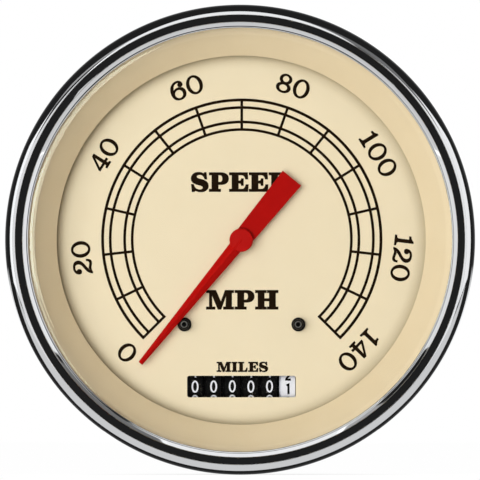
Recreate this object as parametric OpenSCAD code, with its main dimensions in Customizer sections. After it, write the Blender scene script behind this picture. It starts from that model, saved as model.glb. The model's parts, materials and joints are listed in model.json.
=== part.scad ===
// Round dashboard speedometer with a drum odometer, driven by a flexible cable
// Drawn lying face up: x to the right of the face, y up the face, z towards the driver
// stand() then turns it to face -Y with +Z up, and z = 0 is the panel that the bezel seats on

/* [Case] */
// Diameter of the case barrel, which goes through the panel
case_d = 117; // [113:0.5:121]
// Thickness of the case sheet
case_wall = 0.8; // [0.6:0.1:1.2]
// Radius of the pressed corner round the back
case_corner = 6; // [3:0.5:9]
// How far the barrel draws in behind the bezel's hem
neck_step = 0.3; // [0.2:0.05:0.5]

/* [Bezel and glass] */
// How far the bezel stands out beyond the barrel
bezel_overhang = 3.5; // [3:0.1:4.5]
// Thickness of the bezel sheet
bezel_sheet = 0.8; // [0.6:0.1:1]
// Width of the bezel's outer round
bezel_round = 1.1; // [0.9:0.1:1.4]
// Width of the bezel's front land
bezel_land = 1.5; // [1.2:0.1:2]
// Angle by which the land falls away at its outer edge
bezel_fall = 25; // [15:1:35]
// Width of the bezel's inner slope
bezel_slope = 2; // [1.6:0.1:2.6]
// Width of the lip that holds the glass
bezel_lip = 1.7; // [1.2:0.1:2.2]
// Height of the bezel's front above the lip
bezel_crown = 2.6; // [2:0.1:3.2]
// How far the lip dips towards the glass
bezel_dip = 0.3; // [0.2:0.05:0.5]
// Thickness of the glass
glass_t = 2.5; // [2:0.1:3.5]
// Thickness of the gasket under the glass
gasket_t = 1; // [0.6:0.1:1.6]

/* [Dial] */
// Depth of the dial's face behind the panel
dial_depth = 7.5; // [7:0.1:10]
// Thickness of the dial
dial_t = 0.8; // [0.5:0.1:1.2]
// Width of the trim ring that shows inside the bezel
ring_w = 6.9; // [5.5:0.1:8.5]
// Gap between the dial's edge and the case
dial_gap = 3.7; // [2:0.1:5]
// Gap under the trim ring's inner edge, where the lamplight reaches the dial
ring_gap = 2.7; // [2:0.1:3.5]
// Thickness of the trim ring
ring_sheet = 0.7; // [0.5:0.1:1]
// Diameter of the hole for the pointer's spindle
dial_hole_d = 4; // [3:0.1:5]

/* [Pointer] */
// Length of the needle from the centre
needle_len = 42.1; // [38:0.1:45]
// Width of the needle at the hub
needle_root_w = 3.2; // [2.6:0.1:3.8]
// Width of the needle at its tip
needle_tip_w = 1.15; // [0.8:0.05:1.6]
// Height of the needle's ridge at the hub
needle_ridge = 1.5; // [1.3:0.05:1.8]
// Thickness of the needle's edge
needle_edge = 0.45; // [0.3:0.05:0.7]
// Diameter of the hub
hub_d = 6.2; // [5.4:0.1:7.4]
// Height of the hub
hub_h = 1.3; // [1.1:0.05:1.6]
// Length of the tail from the centre
tail_len = 21.2; // [17:0.1:23]
// Width of the tail at its end
tail_end_w = 6.3; // [5:0.1:7.5]
// Width of the tail at the hub
tail_root_w = 4; // [3.6:0.1:4.8]
// Thickness of the tail
tail_t = 0.6; // [0.4:0.1:0.8]
// Height of the needle's underside above the dial
pointer_lift = 2.2; // [2:0.1:3]
// Angle of the resting needle from straight down
pointer_rest = 39.3; // [32:0.1:48]
// Distance of the stops from the centre
stop_r = 26.9; // [24:0.1:27.5]
// Diameter of a stop's foot
stop_foot_d = 3.7; // [3.2:0.1:4.2]
// Diameter of a stop's post
stop_post_d = 2.6; // [2.2:0.1:3]
// Diameter of a stop's shank
stop_shank_d = 2; // [1.6:0.1:2.4]

/* [Drag unit] */
// Diameter of the magnet
magnet_d = 24.4; // [21:0.2:26]
// Thickness of the magnet
magnet_t = 5.8; // [4.5:0.1:7]
// Air gap on either side of the speed cup
air_gap = 0.75; // [0.5:0.05:1]
// Thickness of the speed cup
cup_wall = 0.6; // [0.4:0.1:0.8]
// Thickness of the flux ring
flux_wall = 2; // [1.5:0.1:2.5]
// Diameter of the pointer's spindle
spindle_d = 1.6; // [1.3:0.1:1.8]
// Turns of the hairspring
spring_turns = 4; // [3:1:5]
// Thickness of the hairspring
spring_t = 0.3; // [0.2:0.05:0.4]
// Width of the hairspring
spring_w = 1; // [0.7:0.1:1.2]
// Radius at the hairspring's outer end
spring_r = 9; // [8.4:0.1:10]
// Thickness of the bridge
bridge_t = 1.2; // [1:0.1:1.6]
// Distance of the bridge pillars from the centre
bridge_span = 20; // [19.4:0.1:22]

/* [Drive and train] */
// Diameter of the drive shaft
drive_d = 5; // [4.4:0.1:5.4]
// Width of the square in the drive shaft's end
drive_square = 2.7; // [2.5:0.1:2.9]
// Depth of the square in the drive shaft's end
square_depth = 8; // [6:0.5:10]
// Gear module of the first worm stage
first_module = 1; // [0.9:0.05:1.1]
// Gear module of the second worm stage
second_module = 1.1; // [1:0.05:1.2]
// Gear module of the third worm stage
third_module = 1; // [0.9:0.05:1.05]
// Pitch radius of the first worm
first_worm_r = 4; // [3.9:0.1:4.4]
// Pitch radius of the third worm
third_worm_r = 3.5; // [3.2:0.1:3.8]
// Width of the worm wheels
wheel_w = 3; // [2.2:0.1:3.4]
// Length of the worms
worm_len = 8; // [6.5:0.1:8.5]
// Diameter of the cross and counter shafts
train_d = 3; // [2.4:0.1:3.2]

/* [Odometer] */
// Distance of the odometer below the centre
odometer_drop = 38.7; // [38:0.1:40.5]
// Diameter of the number drums
drum_d = 12.4; // [11.8:0.1:13]
// Distance from one drum to the next
drum_pitch = 4.93; // [4.8:0.01:5.2]
// Width of a drum's number band
band_w = 3.7; // [3.4:0.05:3.75]
// Width of the window in the dial
window_w = 28.75; // [27:0.05:29]
// Height of the window in the dial
window_h = 5.7; // [5:0.1:6.2]
// Radius of the window's corners
window_round = 0.6; // [0.3:0.1:1]
// Diameter of the odometer shaft
odometer_d = 3; // [2.4:0.1:3.4]
// Diameter of the pinion shaft
pinion_d = 1.6; // [1.2:0.1:1.7]
// Thickness of the odometer's side plates
cheek_t = 1.2; // [0.8:0.1:1.6]

/* [Movement frame] */
// Thickness of the platform
platform_t = 2.2; // [1.8:0.1:3]
// Thickness of the base plate
base_t = 2.5; // [2:0.1:3.5]
// Radius of the base plate
base_r = 24; // [22:0.5:26]
// Diameter of the columns between platform and base plate
column_d = 6.4; // [5.6:0.1:7]
// Diameter of the pillars under the bridge and the dial
pillar_d = 4.4; // [4:0.1:4.8]

/* [Back] */
// Outside diameter of the cable fitting's thread
ferrule_d = 15.88; // [15:0.02:17]
// Length of the cable fitting's thread
ferrule_len = 12; // [10:0.5:15]
// Width across the flats of the cable fitting
ferrule_hex = 22; // [20:0.5:24]
// Thickness of the cable fitting's hexagon
ferrule_hex_t = 4; // [3:0.5:6]
// Diameter of the seat for the cable's end
cable_seat_d = 8.4; // [7.6:0.1:9.4]
// Depth of the seat for the cable's end
cable_seat_len = 5; // [4:0.5:6]
// Diameter of the mounting studs
stud_d = 4.8; // [4:0.1:6]
// Length of the mounting studs behind the case
stud_len = 22; // [15:0.5:35]
// Distance between the mounting studs
stud_spacing = 80; // [74:0.5:88]
// Distance of the lamps inside the barrel
lamp_inset = 18; // [16.5:0.1:20]
// Angle of the lamps above the middle
lamp_angle = 33; // [25:1:36]
// Diameter of the lamp socket's barrel
socket_d = 13.6; // [12:0.1:15]
// Height of the lamp socket's cap behind the case
socket_cap = 9; // [7:0.5:12]
// Depth of the lamp socket inside the case
socket_deep = 10; // [8:0.5:11]
// Diameter of the lamp bulbs
bulb_d = 10; // [8.6:0.1:11]
// Length of the lamp bulbs in front of their sockets
bulb_len = 14; // [11:0.5:15]
// Width of the lamps' spade tabs
tab_w = 6.3; // [4.8:0.1:8]
// Thickness of the lamps' spade tabs
tab_t = 0.8; // [0.5:0.1:1]
// Length of the lamps' spade tabs behind their sockets
tab_len = 7; // [5:0.5:9]

/* [Fits] */
// Running clearance of a shaft in its bearing, on the radius
run_gap = 0.06; // [0.03:0.01:0.08]
// Clearance of a piece that is seated or pressed in, on the radius
seat_gap = 0.02; // [0.01:0.01:0.04]
// Gap beside pieces that turn
free_gap = 0.6; // [0.5:0.05:0.7]
// Gap between the resting needle and its stop
rest_gap = 0.2; // [0.1:0.05:0.3]

/* [Hidden] */
$fn = 96;

// Counts that set the odometer's ratios
wheel_teeth = 10;
drum_teeth = 20;
pinion_teeth = 8;
drums = 6;

// Tooth proportions, in gear modules
tooth_add = 0.8;
tooth_ded = 1.1;
tooth_tip = 0.62;
tooth_root = 1.62;

// Levels of the front stack
z_hem = bezel_sheet;
z_flange = z_hem + case_wall;
z_ring = z_flange + ring_sheet;
z_glass = z_ring + gasket_t;
z_lip = z_glass + glass_t;
z_lip_top = z_lip + bezel_sheet;
z_crown = z_lip_top + bezel_crown;

// Radii of the front stack
barrel_r = case_d / 2;
neck_r = barrel_r - neck_step;
bezel_r = barrel_r + bezel_overhang;
bore_r = neck_r - case_wall;
flange_r = bezel_r - bezel_sheet - 0.3;
land_r = bezel_r - bezel_round;
slope_r = land_r - bezel_land;
lip_r = slope_r - bezel_slope;
aperture_r = lip_r - bezel_lip;
glass_r = flange_r - 1.3;
sight_r = aperture_r - ring_w;
dial_r = barrel_r - case_wall - dial_gap;
clear_r = barrel_r - case_wall - 2;

// Levels of the dial and pointer
z_dial = -dial_depth;
z_dial_back = z_dial - dial_t;
z_ring_in = z_dial + ring_gap + ring_sheet * 1.2;
z_needle = z_dial + pointer_lift;
z_tail = z_needle - tail_t;
z_bush = z_tail - 1;

// Levels of the drag unit
z_spring = z_dial_back - 1.3;
z_bridge = z_spring - spring_w - 1.4;
z_bridge_back = z_bridge - bridge_t;
z_cup = z_bridge_back - 1.8;
z_carrier = z_cup - cup_wall - free_gap;
carrier_t = 0.8;
z_magnet = z_carrier - carrier_t;
z_magnet_back = z_magnet - magnet_t;
z_platform = z_magnet_back - 1;
z_platform_back = z_platform - platform_t;

// Radii of the drag unit
magnet_r = magnet_d / 2;
cup_r = magnet_r + air_gap;
cup_out_r = cup_r + cup_wall;
flux_r = cup_out_r + air_gap;
flux_out_r = flux_r + flux_wall;
platform_r = flux_out_r + 1.5;
spindle_r = spindle_d / 2;
pivot_r = 0.5;
collet_r = spindle_d * 1.5;
carrier_r = drive_d / 2 + 1.5;
spring_in_r = collet_r + seat_gap + spring_t / 2;

// Places of the odometer train
drive_r = drive_d / 2;
train_r = train_d / 2;
first_wheel_r = wheel_teeth * first_module / 2;
second_wheel_r = wheel_teeth * second_module / 2;
third_wheel_r = wheel_teeth * third_module / 2;
cross_x = first_wheel_r + first_worm_r;
tenths_x = (drums - 1) / 2 * drum_pitch;
wheel_x0 = tenths_x + band_w / 2;
counter_x = wheel_x0 + third_worm_r + tooth_add * third_module + free_gap;
second_worm_r = counter_x - cross_x - second_wheel_r;
bay = max(first_wheel_r + tooth_add * first_module, second_worm_r + tooth_add * second_module) + free_gap;
z_cross = z_platform_back - bay;
z_base = z_cross - bay;
z_base_back = z_base - base_t;
counter_y = -odometer_drop + third_wheel_r + third_worm_r;
lug_w = 3;
lug_half = train_r + 1.6;
lug_top = wheel_w / 2 + 3.5;
lug_low = counter_y + worm_len / 2 + 4;

// Places of the odometer
drum_r = drum_d / 2;
side_w = (drum_pitch - band_w - 0.15) / 2;
z_odometer = z_dial_back - 0.5 - max(drum_r, third_wheel_r + tooth_add * third_module);
drum_module = 0.5;
drum_gear_r = drum_teeth * drum_module / 2;
pinion_gear_r = pinion_teeth * drum_module / 2;
pinion_c = drum_gear_r + pinion_gear_r;
pinion_y = -odometer_drop - pinion_c * sin(45);
pinion_z = z_odometer - pinion_c * sin(45);
lock_r = 4.5;
odometer_r = odometer_d / 2;
wheel_x1 = counter_x + wheel_w / 2;
cheek_left = -drums / 2 * drum_pitch - 0.7;
cheek_right = wheel_x1 + 1.4;
cheek_top = -odometer_drop + drum_r - 2;
cheek_low = pinion_y - 2.4;
cheek_front = z_odometer + odometer_r + 2.6;
foot_w = cheek_t * 3.8;
foot_screw_r = foot_w * 0.22;
tongue_left = cheek_left - cheek_t - foot_w;
tongue_right = cheek_right + cheek_t + foot_w;

// Places of the frame's columns, pillars and stops
needle_half = needle_root_w / 2 - (needle_root_w - needle_tip_w) / 2 * stop_r / needle_len;
stop_angle = pointer_rest - asin((stop_post_d / 2 + needle_half + rest_gap) / stop_r);
stop_x = stop_r * sin(stop_angle);
stop_y = -stop_r * cos(stop_angle);
column_c = base_r - column_d / 2 - 1.3;
columns = [for (a = [134, 46, 222, 325]) column_c * [cos(a), sin(a)]];
column_screw_r = column_d * 0.27;
pillar_screw_r = pillar_d * 0.27;
screw_deep = pillar_d * 1.15;
bridge_half = pillar_d * 0.9;
drive_bush_r = drive_r + 1.6;

// Levels of the back
z_back = z_base_back - case_wall;
z_hex = z_back - ferrule_hex_t;
z_end = z_hex - ferrule_len;
z_seat = z_end + cable_seat_len;
seat_wall = 1;
stud_root_r = stud_d * 0.6;
stud_head_r = stud_d * 1.05;
rear_bush_len = drive_d * 1.6;
ferrule_bore_r = drive_d;
spigot_r = ferrule_bore_r * 1.4;
ferrule_r = ferrule_d / 2;
socket_r = socket_d / 2;
lamp_x = (barrel_r - lamp_inset) * cos(lamp_angle);
lamp_y = (barrel_r - lamp_inset) * sin(lamp_angle);
bulb_r = bulb_d / 2;
bulb_base_r = bulb_r - 1;

echo(least_hairspring_gap = (spring_r - spring_in_r) / spring_turns - spring_t);
echo(cross = [cross_x, -z_cross], counter = [counter_x, counter_y], odometer = [-odometer_drop, -z_odometer]);
echo(pinions = [pinion_y, -pinion_z], back = -z_back, hex = -z_hex, end = -z_end, seat = -z_seat);
echo(stop_angle = stop_angle, stop = [stop_x, stop_y], sweep = 2 * (180 - pointer_rest), neck = neck_r);

function arc(cx, cz, r, a0, a1, n = 10) =
  [for (i = [0 : n]) let (a = a0 + (a1 - a0) * i / n) [cx + r * cos(a), cz + r * sin(a)]];

function bend(p0, p1, p2, n) =
  [for (i = [1 : n]) let (q = i / n) (1 - q) * (1 - q) * p0 + 2 * q * (1 - q) * p1 + q * q * p2];

function gear_points(teeth, r, m, skip = 1) =
  [for (i = [0 : teeth - 1])
    let (a = 360 / teeth * i, low = r - tooth_ded * m, high = i % skip == 0 ? r + tooth_add * m : low + 0.02,
      b = asin(tooth_root * m / 2 / low), t = asin(tooth_tip * m / 2 / high))
    each [[low * cos(a - b), low * sin(a - b)], [high * cos(a - t), high * sin(a - t)],
      [high * cos(a + t), high * sin(a + t)], [low * cos(a + b), low * sin(a + b)]]];

function worm_points(r, m, n = 20) =
  [for (i = [0 : n - 1])
    let (a = 360 / n * i, s = min(a, 360 - a) / 360 * PI * m, t = tooth_tip * m / 2, b = tooth_root * m / 2,
      q = s < t ? tooth_add : s > b ? -tooth_ded : tooth_add - (tooth_add + tooth_ded) * (s - t) / (b - t))
    [(r + q * m) * cos(a), (r + q * m) * sin(a)]];

function spiral(offset, n = 24) =
  [for (i = [0 : spring_turns * n])
    let (r = spring_in_r + (spring_r - spring_in_r) * i / (spring_turns * n) + offset, a = 360 / n * i)
    [r * cos(a), r * sin(a)]];

module stand() {
  rotate([90, 0, 0]) children();
}

module along_x() {
  rotate([0, 90, 0]) children();
}

module along_y() {
  rotate([-90, 0, 0]) children();
}

module rod(r, z0, z1) {
  translate([0, 0, z0]) cylinder(r = r, h = z1 - z0);
}

module tube(r, bore, z0, z1) {
  difference() {
    rod(r, z0, z1);
    rod(bore, z0 - 1, z1 + 1);
  }
}

module block(x0, x1, y0, y1, z0, z1) {
  translate([x0, y0, z0]) cube([x1 - x0, y1 - y0, z1 - z0]);
}

module revolve(points) {
  rotate_extrude() polygon(points);
}

module worm(r, m, hand, toward, bore) {
  turn = 180 * worm_len / (PI * m);
  difference() {
    rotate([0, 0, toward + 180 - hand * turn])
      translate([0, 0, -worm_len / 2])
        linear_extrude(worm_len, twist = -hand * 2 * turn, slices = ceil(turn / 15), segments = 20)
          polygon(worm_points(r, m));
    rod(bore, -worm_len, worm_len);
  }
}

module worm_wheel(r, m, toward, bore, z0, z1) {
  difference() {
    union() {
      rotate([0, 0, toward])
        translate([0, 0, -wheel_w / 2])
          linear_extrude(wheel_w) polygon(gear_points(wheel_teeth, r, m));
      rod(r * 0.62, z0, z1);
    }
    rod(bore, z0 - 1, z1 + 1);
  }
}

module case_cup() {
  c = case_corner;
  color("silver")
    difference() {
      revolve(concat(
        [[0, z_back]], arc(barrel_r - c, z_back + c, c, -90, 0),
        [[barrel_r, 0], [neck_r, z_hem], [flange_r, z_hem], [flange_r, z_flange],
          [bore_r, z_flange], [bore_r, -case_wall], [barrel_r - case_wall, -2 * case_wall]],
        arc(barrel_r - c, z_back + c, c - case_wall, 0, -90),
        [[0, z_base_back]]));
      rod(spigot_r + 0.1, z_back - 1, z_base);
      for (x = [-1, 1]) {
        translate([x * stud_spacing / 2, 0]) rod(stud_root_r + seat_gap, z_back - 1, z_base);
        translate([x * lamp_x, lamp_y]) rod(socket_r + 0.1, z_back - 1, z_base);
      }
      for (p = [columns[0], columns[1]])
        translate(p) rod(column_screw_r + 0.2, z_back - 1, z_base);
    }
}

module bezel() {
  s = bezel_sheet;
  edge = 0.12;
  edge_z = z_crown - edge;
  land_arc = (land_r - slope_r - edge) / sin(bezel_fall);
  round_arc = bezel_round / (1 - sin(bezel_fall));
  z_land = z_crown - land_arc * (1 - cos(bezel_fall));
  z_skirt = z_land - round_arc * cos(bezel_fall);
  z_slope = z_lip_top + bezel_dip;
  color("gainsboro")
    revolve(concat(
      [[barrel_r + 0.5, 0]],
      arc(bezel_r - s, s, s, -90, 0, 6),
      arc(bezel_r - round_arc, z_skirt, round_arc, 0, 90 - bezel_fall, 8),
      arc(slope_r + edge, z_crown - land_arc, land_arc, 90 - bezel_fall, 90, 6),
      arc(slope_r + edge, edge_z, edge, 110, 150, 2),
      bend([slope_r, edge_z], [lip_r + bezel_slope * 0.36, (edge_z + z_slope) / 2 + 0.1], [lip_r, z_slope],
        6),
      [[aperture_r + 0.3, z_lip_top], [aperture_r + 0.1, z_lip_top - 0.1], [aperture_r, z_lip_top - 0.3],
        [aperture_r, z_lip], [lip_r + 0.3, z_lip], [lip_r + s + 0.3, z_lip + 0.5],
        [slope_r + 0.2, z_crown - 1.3 * s - 0.2], [slope_r + 0.6, z_crown - s], [land_r - 0.2, z_land - s],
        [bezel_r - s, z_skirt - 0.1], [bezel_r - s, s], [barrel_r + 0.5, s]]));
}

module lens() {
  color([0.85, 0.92, 0.95, 0.35])
    revolve([[0, z_glass], [glass_r - 0.3, z_glass], [glass_r, z_glass + 0.3], [glass_r, z_lip - 0.3],
      [glass_r - 0.3, z_lip], [0, z_lip]]);
}

module lens_gasket() {
  color("dimgray")
    revolve([[aperture_r + 0.6, z_ring], [flange_r - 0.2, z_ring], [flange_r - 0.2, z_lip - 0.6],
      [glass_r + 0.1, z_lip - 0.6], [glass_r + 0.1, z_glass], [aperture_r + 0.6, z_glass]]);
}

module trim_ring() {
  cone_r = bore_r - ring_sheet * 1.5 - 0.3;
  drop = ring_sheet * 1.2;
  color("burlywood")
    revolve([[bore_r - 0.3, z_flange], [flange_r - 0.2, z_flange], [flange_r - 0.2, z_ring], [cone_r, z_ring],
      [sight_r + 0.2, z_ring_in], [sight_r, z_ring_in - drop / 2], [sight_r + 0.2, z_ring_in - drop],
      [bore_r - 0.3, z_flange - 0.2]]);
}

module window() {
  x = window_w / 2;
  y = window_h / 2;
  r = window_round;
  block(-x, x, r - y, y - r, z_dial_back - 1, z_dial + 1);
  block(r - x, x - r, -y, y, z_dial_back - 1, z_dial + 1);
  for (i = [-1, 1], j = [-1, 1])
    translate([i * (x - r), j * (y - r)]) rod(r, z_dial_back - 1, z_dial + 1);
}

module dial_plate() {
  color("moccasin")
    difference() {
      rod(dial_r, z_dial_back, z_dial);
      rod(dial_hole_d / 2, z_dial_back - 1, z_dial + 1);
      translate([0, -odometer_drop]) window();
      for (x = [-1, 1])
        translate([x * stop_x, stop_y]) rod(stop_shank_d / 2 + 0.05, z_dial_back - 1, z_dial + 1);
    }
}

module stop_post(side) {
  foot = stop_foot_d / 2;
  post = stop_post_d / 2;
  low = z_dial_back - screw_deep;
  top = z_needle + needle_edge + 0.65;
  color("black")
    translate([side * stop_x, stop_y])
      revolve([[0, low], [stop_shank_d / 2, low], [stop_shank_d / 2, z_dial],
        [foot, z_dial], [foot, z_dial + 0.5], [foot - 0.25, z_dial + 0.8], [post, z_dial + 0.9],
        [post, top - 0.3], [post - 0.25, top], [0.55, top], [0.45, top - 0.1], [0.45, top - 1.2],
        [0, top - 1.2]]);
}

module zero_stop() {
  stop_post(-1);
}

module full_scale_stop() {
  stop_post(1);
}

module at_rest() {
  rotate([0, 0, 270 - pointer_rest]) children();
}

module pointer_needle() {
  w = needle_root_w / 2;
  t = needle_tip_w / 2;
  tip_ridge = needle_edge + 0.25;
  color("firebrick")
    at_rest()
      translate([0, 0, z_needle])
        difference() {
          union() {
            revolve([[0, 0], [hub_d / 2, 0], [hub_d / 2, hub_h - 0.3], [hub_d / 2 - 0.3, hub_h], [0, hub_h]]);
            polyhedron(
              points = [[0, w, 0], [0, -w, 0], [0, -w, needle_edge], [0, 0, needle_ridge], [0, w, needle_edge],
                [needle_len, t, 0], [needle_len, -t, 0], [needle_len, -t, needle_edge],
                [needle_len, 0, tip_ridge], [needle_len, t, needle_edge]],
              faces = [[0, 4, 3, 2, 1], [5, 6, 7, 8, 9], [0, 1, 6, 5], [1, 2, 7, 6], [0, 5, 9, 4],
                [2, 3, 8], [2, 8, 7], [4, 9, 8], [4, 8, 3]]);
          }
          rod(spindle_r + 0.8 + seat_gap, -1, hub_h - 0.5);
        }
}

module pointer_tail() {
  nose = hub_d / 2 - 0.4;
  color("firebrick")
    at_rest()
      translate([0, 0, z_tail])
        difference() {
          linear_extrude(tail_t)
            union() {
              circle(nose);
              polygon([[0, tail_root_w / 2], [-tail_len, tail_end_w / 2], [-tail_len, -tail_end_w / 2],
                [0, -tail_root_w / 2]]);
            }
          rod(spindle_r + 0.8 + seat_gap, -1, tail_t + 1);
        }
}

module pointer_bush() {
  color("goldenrod")
    difference() {
      union() {
        rod(hub_d / 2 - 0.7, z_bush, z_tail);
        rod(spindle_r + 0.8, z_bush, z_needle + hub_h - 0.5);
      }
      rod(spindle_r + seat_gap, z_bush - 1, z_needle + hub_h - 0.7);
    }
}

module pointer_spindle() {
  color("silver") {
    rod(spindle_r, z_magnet + 0.4, z_needle + hub_h - 0.7);
    rod(pivot_r, z_magnet - 2.4, z_magnet + 0.5);
  }
}

module speed_cup() {
  color("lightgray")
    difference() {
      union() {
        rod(cup_out_r, z_magnet_back, z_cup);
        rod(spindle_r + 1.2, z_cup - 0.1, z_cup + 1);
      }
      rod(cup_r, z_magnet_back - 1, z_cup - cup_wall);
      rod(spindle_r + seat_gap, z_cup - 2, z_cup + 2);
    }
}

module spring_collet() {
  color("goldenrod")
    tube(collet_r, spindle_r + seat_gap, z_spring - spring_w - 0.2, z_spring + 0.2);
}

module hairspring() {
  outer = spiral(spring_t / 2);
  inner = spiral(-spring_t / 2);
  color("steelblue")
    translate([0, 0, z_spring - spring_w])
      linear_extrude(spring_w)
        polygon(concat(outer, [for (i = [len(inner) - 1 : -1 : 0]) inner[i]]));
}

module spring_stud() {
  color("goldenrod")
    translate([spring_r + spring_t / 2 + 0.9, 0])
      difference() {
        union() {
          rod(0.9, z_bridge_back, z_spring + 0.2);
          rod(1.4, z_bridge, z_bridge + 0.6);
        }
        block(-1, -0.4, -2, 2, z_spring - spring_w - 0.05, z_spring + 0.05);
      }
}

module bridge() {
  color("silver")
    difference() {
      union() {
        rod(bridge_half * 1.75, z_bridge_back, z_bridge);
        block(-bridge_span, bridge_span, -bridge_half, bridge_half, z_bridge_back, z_bridge);
        for (x = [-1, 1])
          translate([x * bridge_span, 0]) rod(bridge_half, z_bridge_back, z_bridge);
      }
      rod(spindle_r + 1 + seat_gap, z_bridge_back - 1, z_bridge + 1);
      translate([spring_r + spring_t / 2 + 0.9, 0]) rod(0.9 + seat_gap, z_bridge_back - 1, z_bridge + 1);
      for (x = [-1, 1])
        translate([x * bridge_span, 0]) rod(pillar_screw_r + 0.1, z_bridge_back - 1, z_bridge + 1);
    }
}

module slotted_screw(r, length) {
  head_r = r * 1.85;
  head_h = r * 1.1;
  difference() {
    union() {
      rod(r, -length, 0.1);
      rod(head_r, 0, head_h);
    }
    block(-head_r - 1, head_r + 1, -r * 0.28, r * 0.28, head_h * 0.5, head_h + 1);
  }
}

module bridge_screws() {
  color("gray")
    for (x = [-1, 1])
      translate([x * bridge_span, 0, z_bridge]) slotted_screw(pillar_screw_r, bridge_t + screw_deep);
}

module spindle_bush() {
  color("goldenrod")
    tube(spindle_r + 1, spindle_r + run_gap, z_bridge_back - 0.4, z_bridge + 0.4);
}

module movement_frame() {
  color("darkgray")
    difference() {
      union() {
        rod(platform_r, z_platform_back, z_platform);
        intersection() {
          block(tongue_left, tongue_right, cheek_low, 0, z_platform_back, z_platform);
          rod(clear_r, z_platform_back - 1, z_platform + 1);
        }
        for (x = [-1, 1]) {
          translate([x * bridge_span, 0]) rod(bridge_half, z_platform_back, z_platform);
          translate([x * bridge_span, 0]) rod(pillar_d / 2, z_platform - 0.1, z_bridge_back);
          translate([x * stop_x, stop_y]) rod(pillar_d / 2, z_platform - 0.1, z_dial_back);
        }
        for (p = columns)
          translate(p) rod(column_d / 2, z_base - 0.1, z_platform_back + 0.1);
        for (p = columns)
          translate(p) rod(column_d / 2 + 0.6, z_platform_back, z_platform);
        rod(base_r, z_base_back, z_base);
        block(counter_x - 5, counter_x + 5, counter_y - 5, 0, z_base_back, z_base);
        for (y = [lug_top, lug_low])
          translate([cross_x, y])
            block(-lug_half, lug_half, 0, lug_w, z_cross - lug_half, z_platform_back + 0.1);
      }
      rod(drive_bush_r + seat_gap, z_platform_back - 1, z_platform + 1);
      rod(spigot_r + seat_gap, z_base_back - 1, z_base + 1);
      translate([counter_x, counter_y]) rod(train_r + run_gap, z_base_back + 0.8, z_platform + 1);
      translate([cross_x, 0, z_cross]) along_y() rod(train_r + run_gap, lug_low - 1, lug_top + lug_w + 1);
      for (x = [-1, 1]) {
        translate([x * bridge_span, 0])
          rod(pillar_screw_r + seat_gap, z_bridge_back - screw_deep - 0.2, z_bridge_back + 1);
        translate([x * stop_x, stop_y])
          rod(stop_shank_d / 2 + seat_gap, z_dial_back - screw_deep - 0.2, z_dial_back + 1);
      }
      for (p = [columns[0], columns[1]])
        translate(p) rod(column_screw_r + seat_gap, z_base_back - 1, z_base + screw_deep + 0.2);
      for (x = [cheek_left - cheek_t - foot_w / 2, cheek_right + cheek_t + foot_w / 2])
        translate([x, -odometer_drop]) rod(foot_screw_r + seat_gap, z_platform_back - 1, z_platform + 1);
    }
}

module movement_screws() {
  color("gray")
    for (p = [columns[0], columns[1]])
      translate([p[0], p[1], z_back])
        mirror([0, 0, 1]) slotted_screw(column_screw_r, case_wall + base_t + screw_deep);
}

module flux_ring() {
  color("dimgray")
    tube(flux_out_r, flux_r, z_platform, z_cup - 1);
}

module front_bush() {
  color("darkgoldenrod")
    difference() {
      union() {
        rod(drive_bush_r, z_platform_back - 0.4, z_platform);
        rod(drive_bush_r + 0.8, z_platform, z_platform + 0.5);
      }
      rod(drive_r + run_gap, z_platform_back - 1, z_platform + 1);
    }
}

module rear_bush() {
  color("darkgoldenrod")
    translate([0, 0, z_seat + seat_wall]) tube(ferrule_bore_r - seat_gap, drive_r + run_gap, 0, rear_bush_len);
}

module drive_shaft() {
  s = drive_square / 2;
  color("gray")
    difference() {
      rod(drive_r, z_seat + 0.3, z_magnet + 0.3);
      rod(pivot_r + run_gap, z_magnet - 2.6, z_magnet + 1);
      block(-s, s, -s, s, z_seat, z_seat + 0.3 + square_depth);
    }
}

module drive_worm() {
  color("slategray")
    translate([0, 0, z_cross]) worm(first_worm_r, first_module, 1, 0, drive_r + seat_gap);
}

module magnet() {
  color("dimgray")
    difference() {
      revolve([[carrier_r + seat_gap, z_magnet_back], [magnet_r - 0.4, z_magnet_back],
        [magnet_r, z_magnet_back + 0.4], [magnet_r, z_magnet - 0.4], [magnet_r - 0.4, z_magnet],
        [carrier_r + seat_gap, z_magnet]]);
      for (a = [45 : 90 : 315])
        rotate([0, 0, a]) block(magnet_r - 1.6, magnet_r + 1, -1.2, 1.2, z_magnet_back - 1, z_magnet + 1);
    }
}

module magnet_carrier() {
  color("goldenrod")
    difference() {
      union() {
        rod(carrier_r, z_magnet_back, z_magnet + 0.1);
        rod(carrier_r + 3, z_magnet, z_carrier);
      }
      rod(drive_r + seat_gap, z_magnet_back - 1, z_magnet + 0.3);
      rod(spindle_r + 0.5, z_magnet, z_carrier + 1);
    }
}

module cross_shaft() {
  color("gray")
    translate([cross_x, 0, z_cross])
      along_y() rod(train_r, counter_y - worm_len / 2 - 1.5, lug_top + lug_w + 0.8);
}

module cross_wheel() {
  color("peru")
    translate([cross_x, 0, z_cross])
      along_y()
        worm_wheel(first_wheel_r, first_module, 180, train_r + seat_gap, -wheel_w / 2 - 1.2, lug_top - 0.2);
}

module cross_worm() {
  color("slategray")
    translate([cross_x, counter_y, z_cross])
      along_y() worm(second_worm_r, second_module, -1, 0, train_r + seat_gap);
}

module counter_shaft() {
  color("gray")
    translate([counter_x, counter_y]) rod(train_r, z_base_back + 0.9, z_odometer + worm_len / 2 + 0.6);
}

module counter_wheel() {
  color("peru")
    translate([counter_x, counter_y, z_cross])
      worm_wheel(second_wheel_r, second_module, 180, train_r + seat_gap, z_base - z_cross + 0.2,
        z_platform_back - z_cross - 0.2);
}

module counter_worm() {
  color("slategray")
    translate([counter_x, counter_y, z_odometer])
      worm(third_worm_r, third_module, 1, 270, train_r + seat_gap);
}

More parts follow.
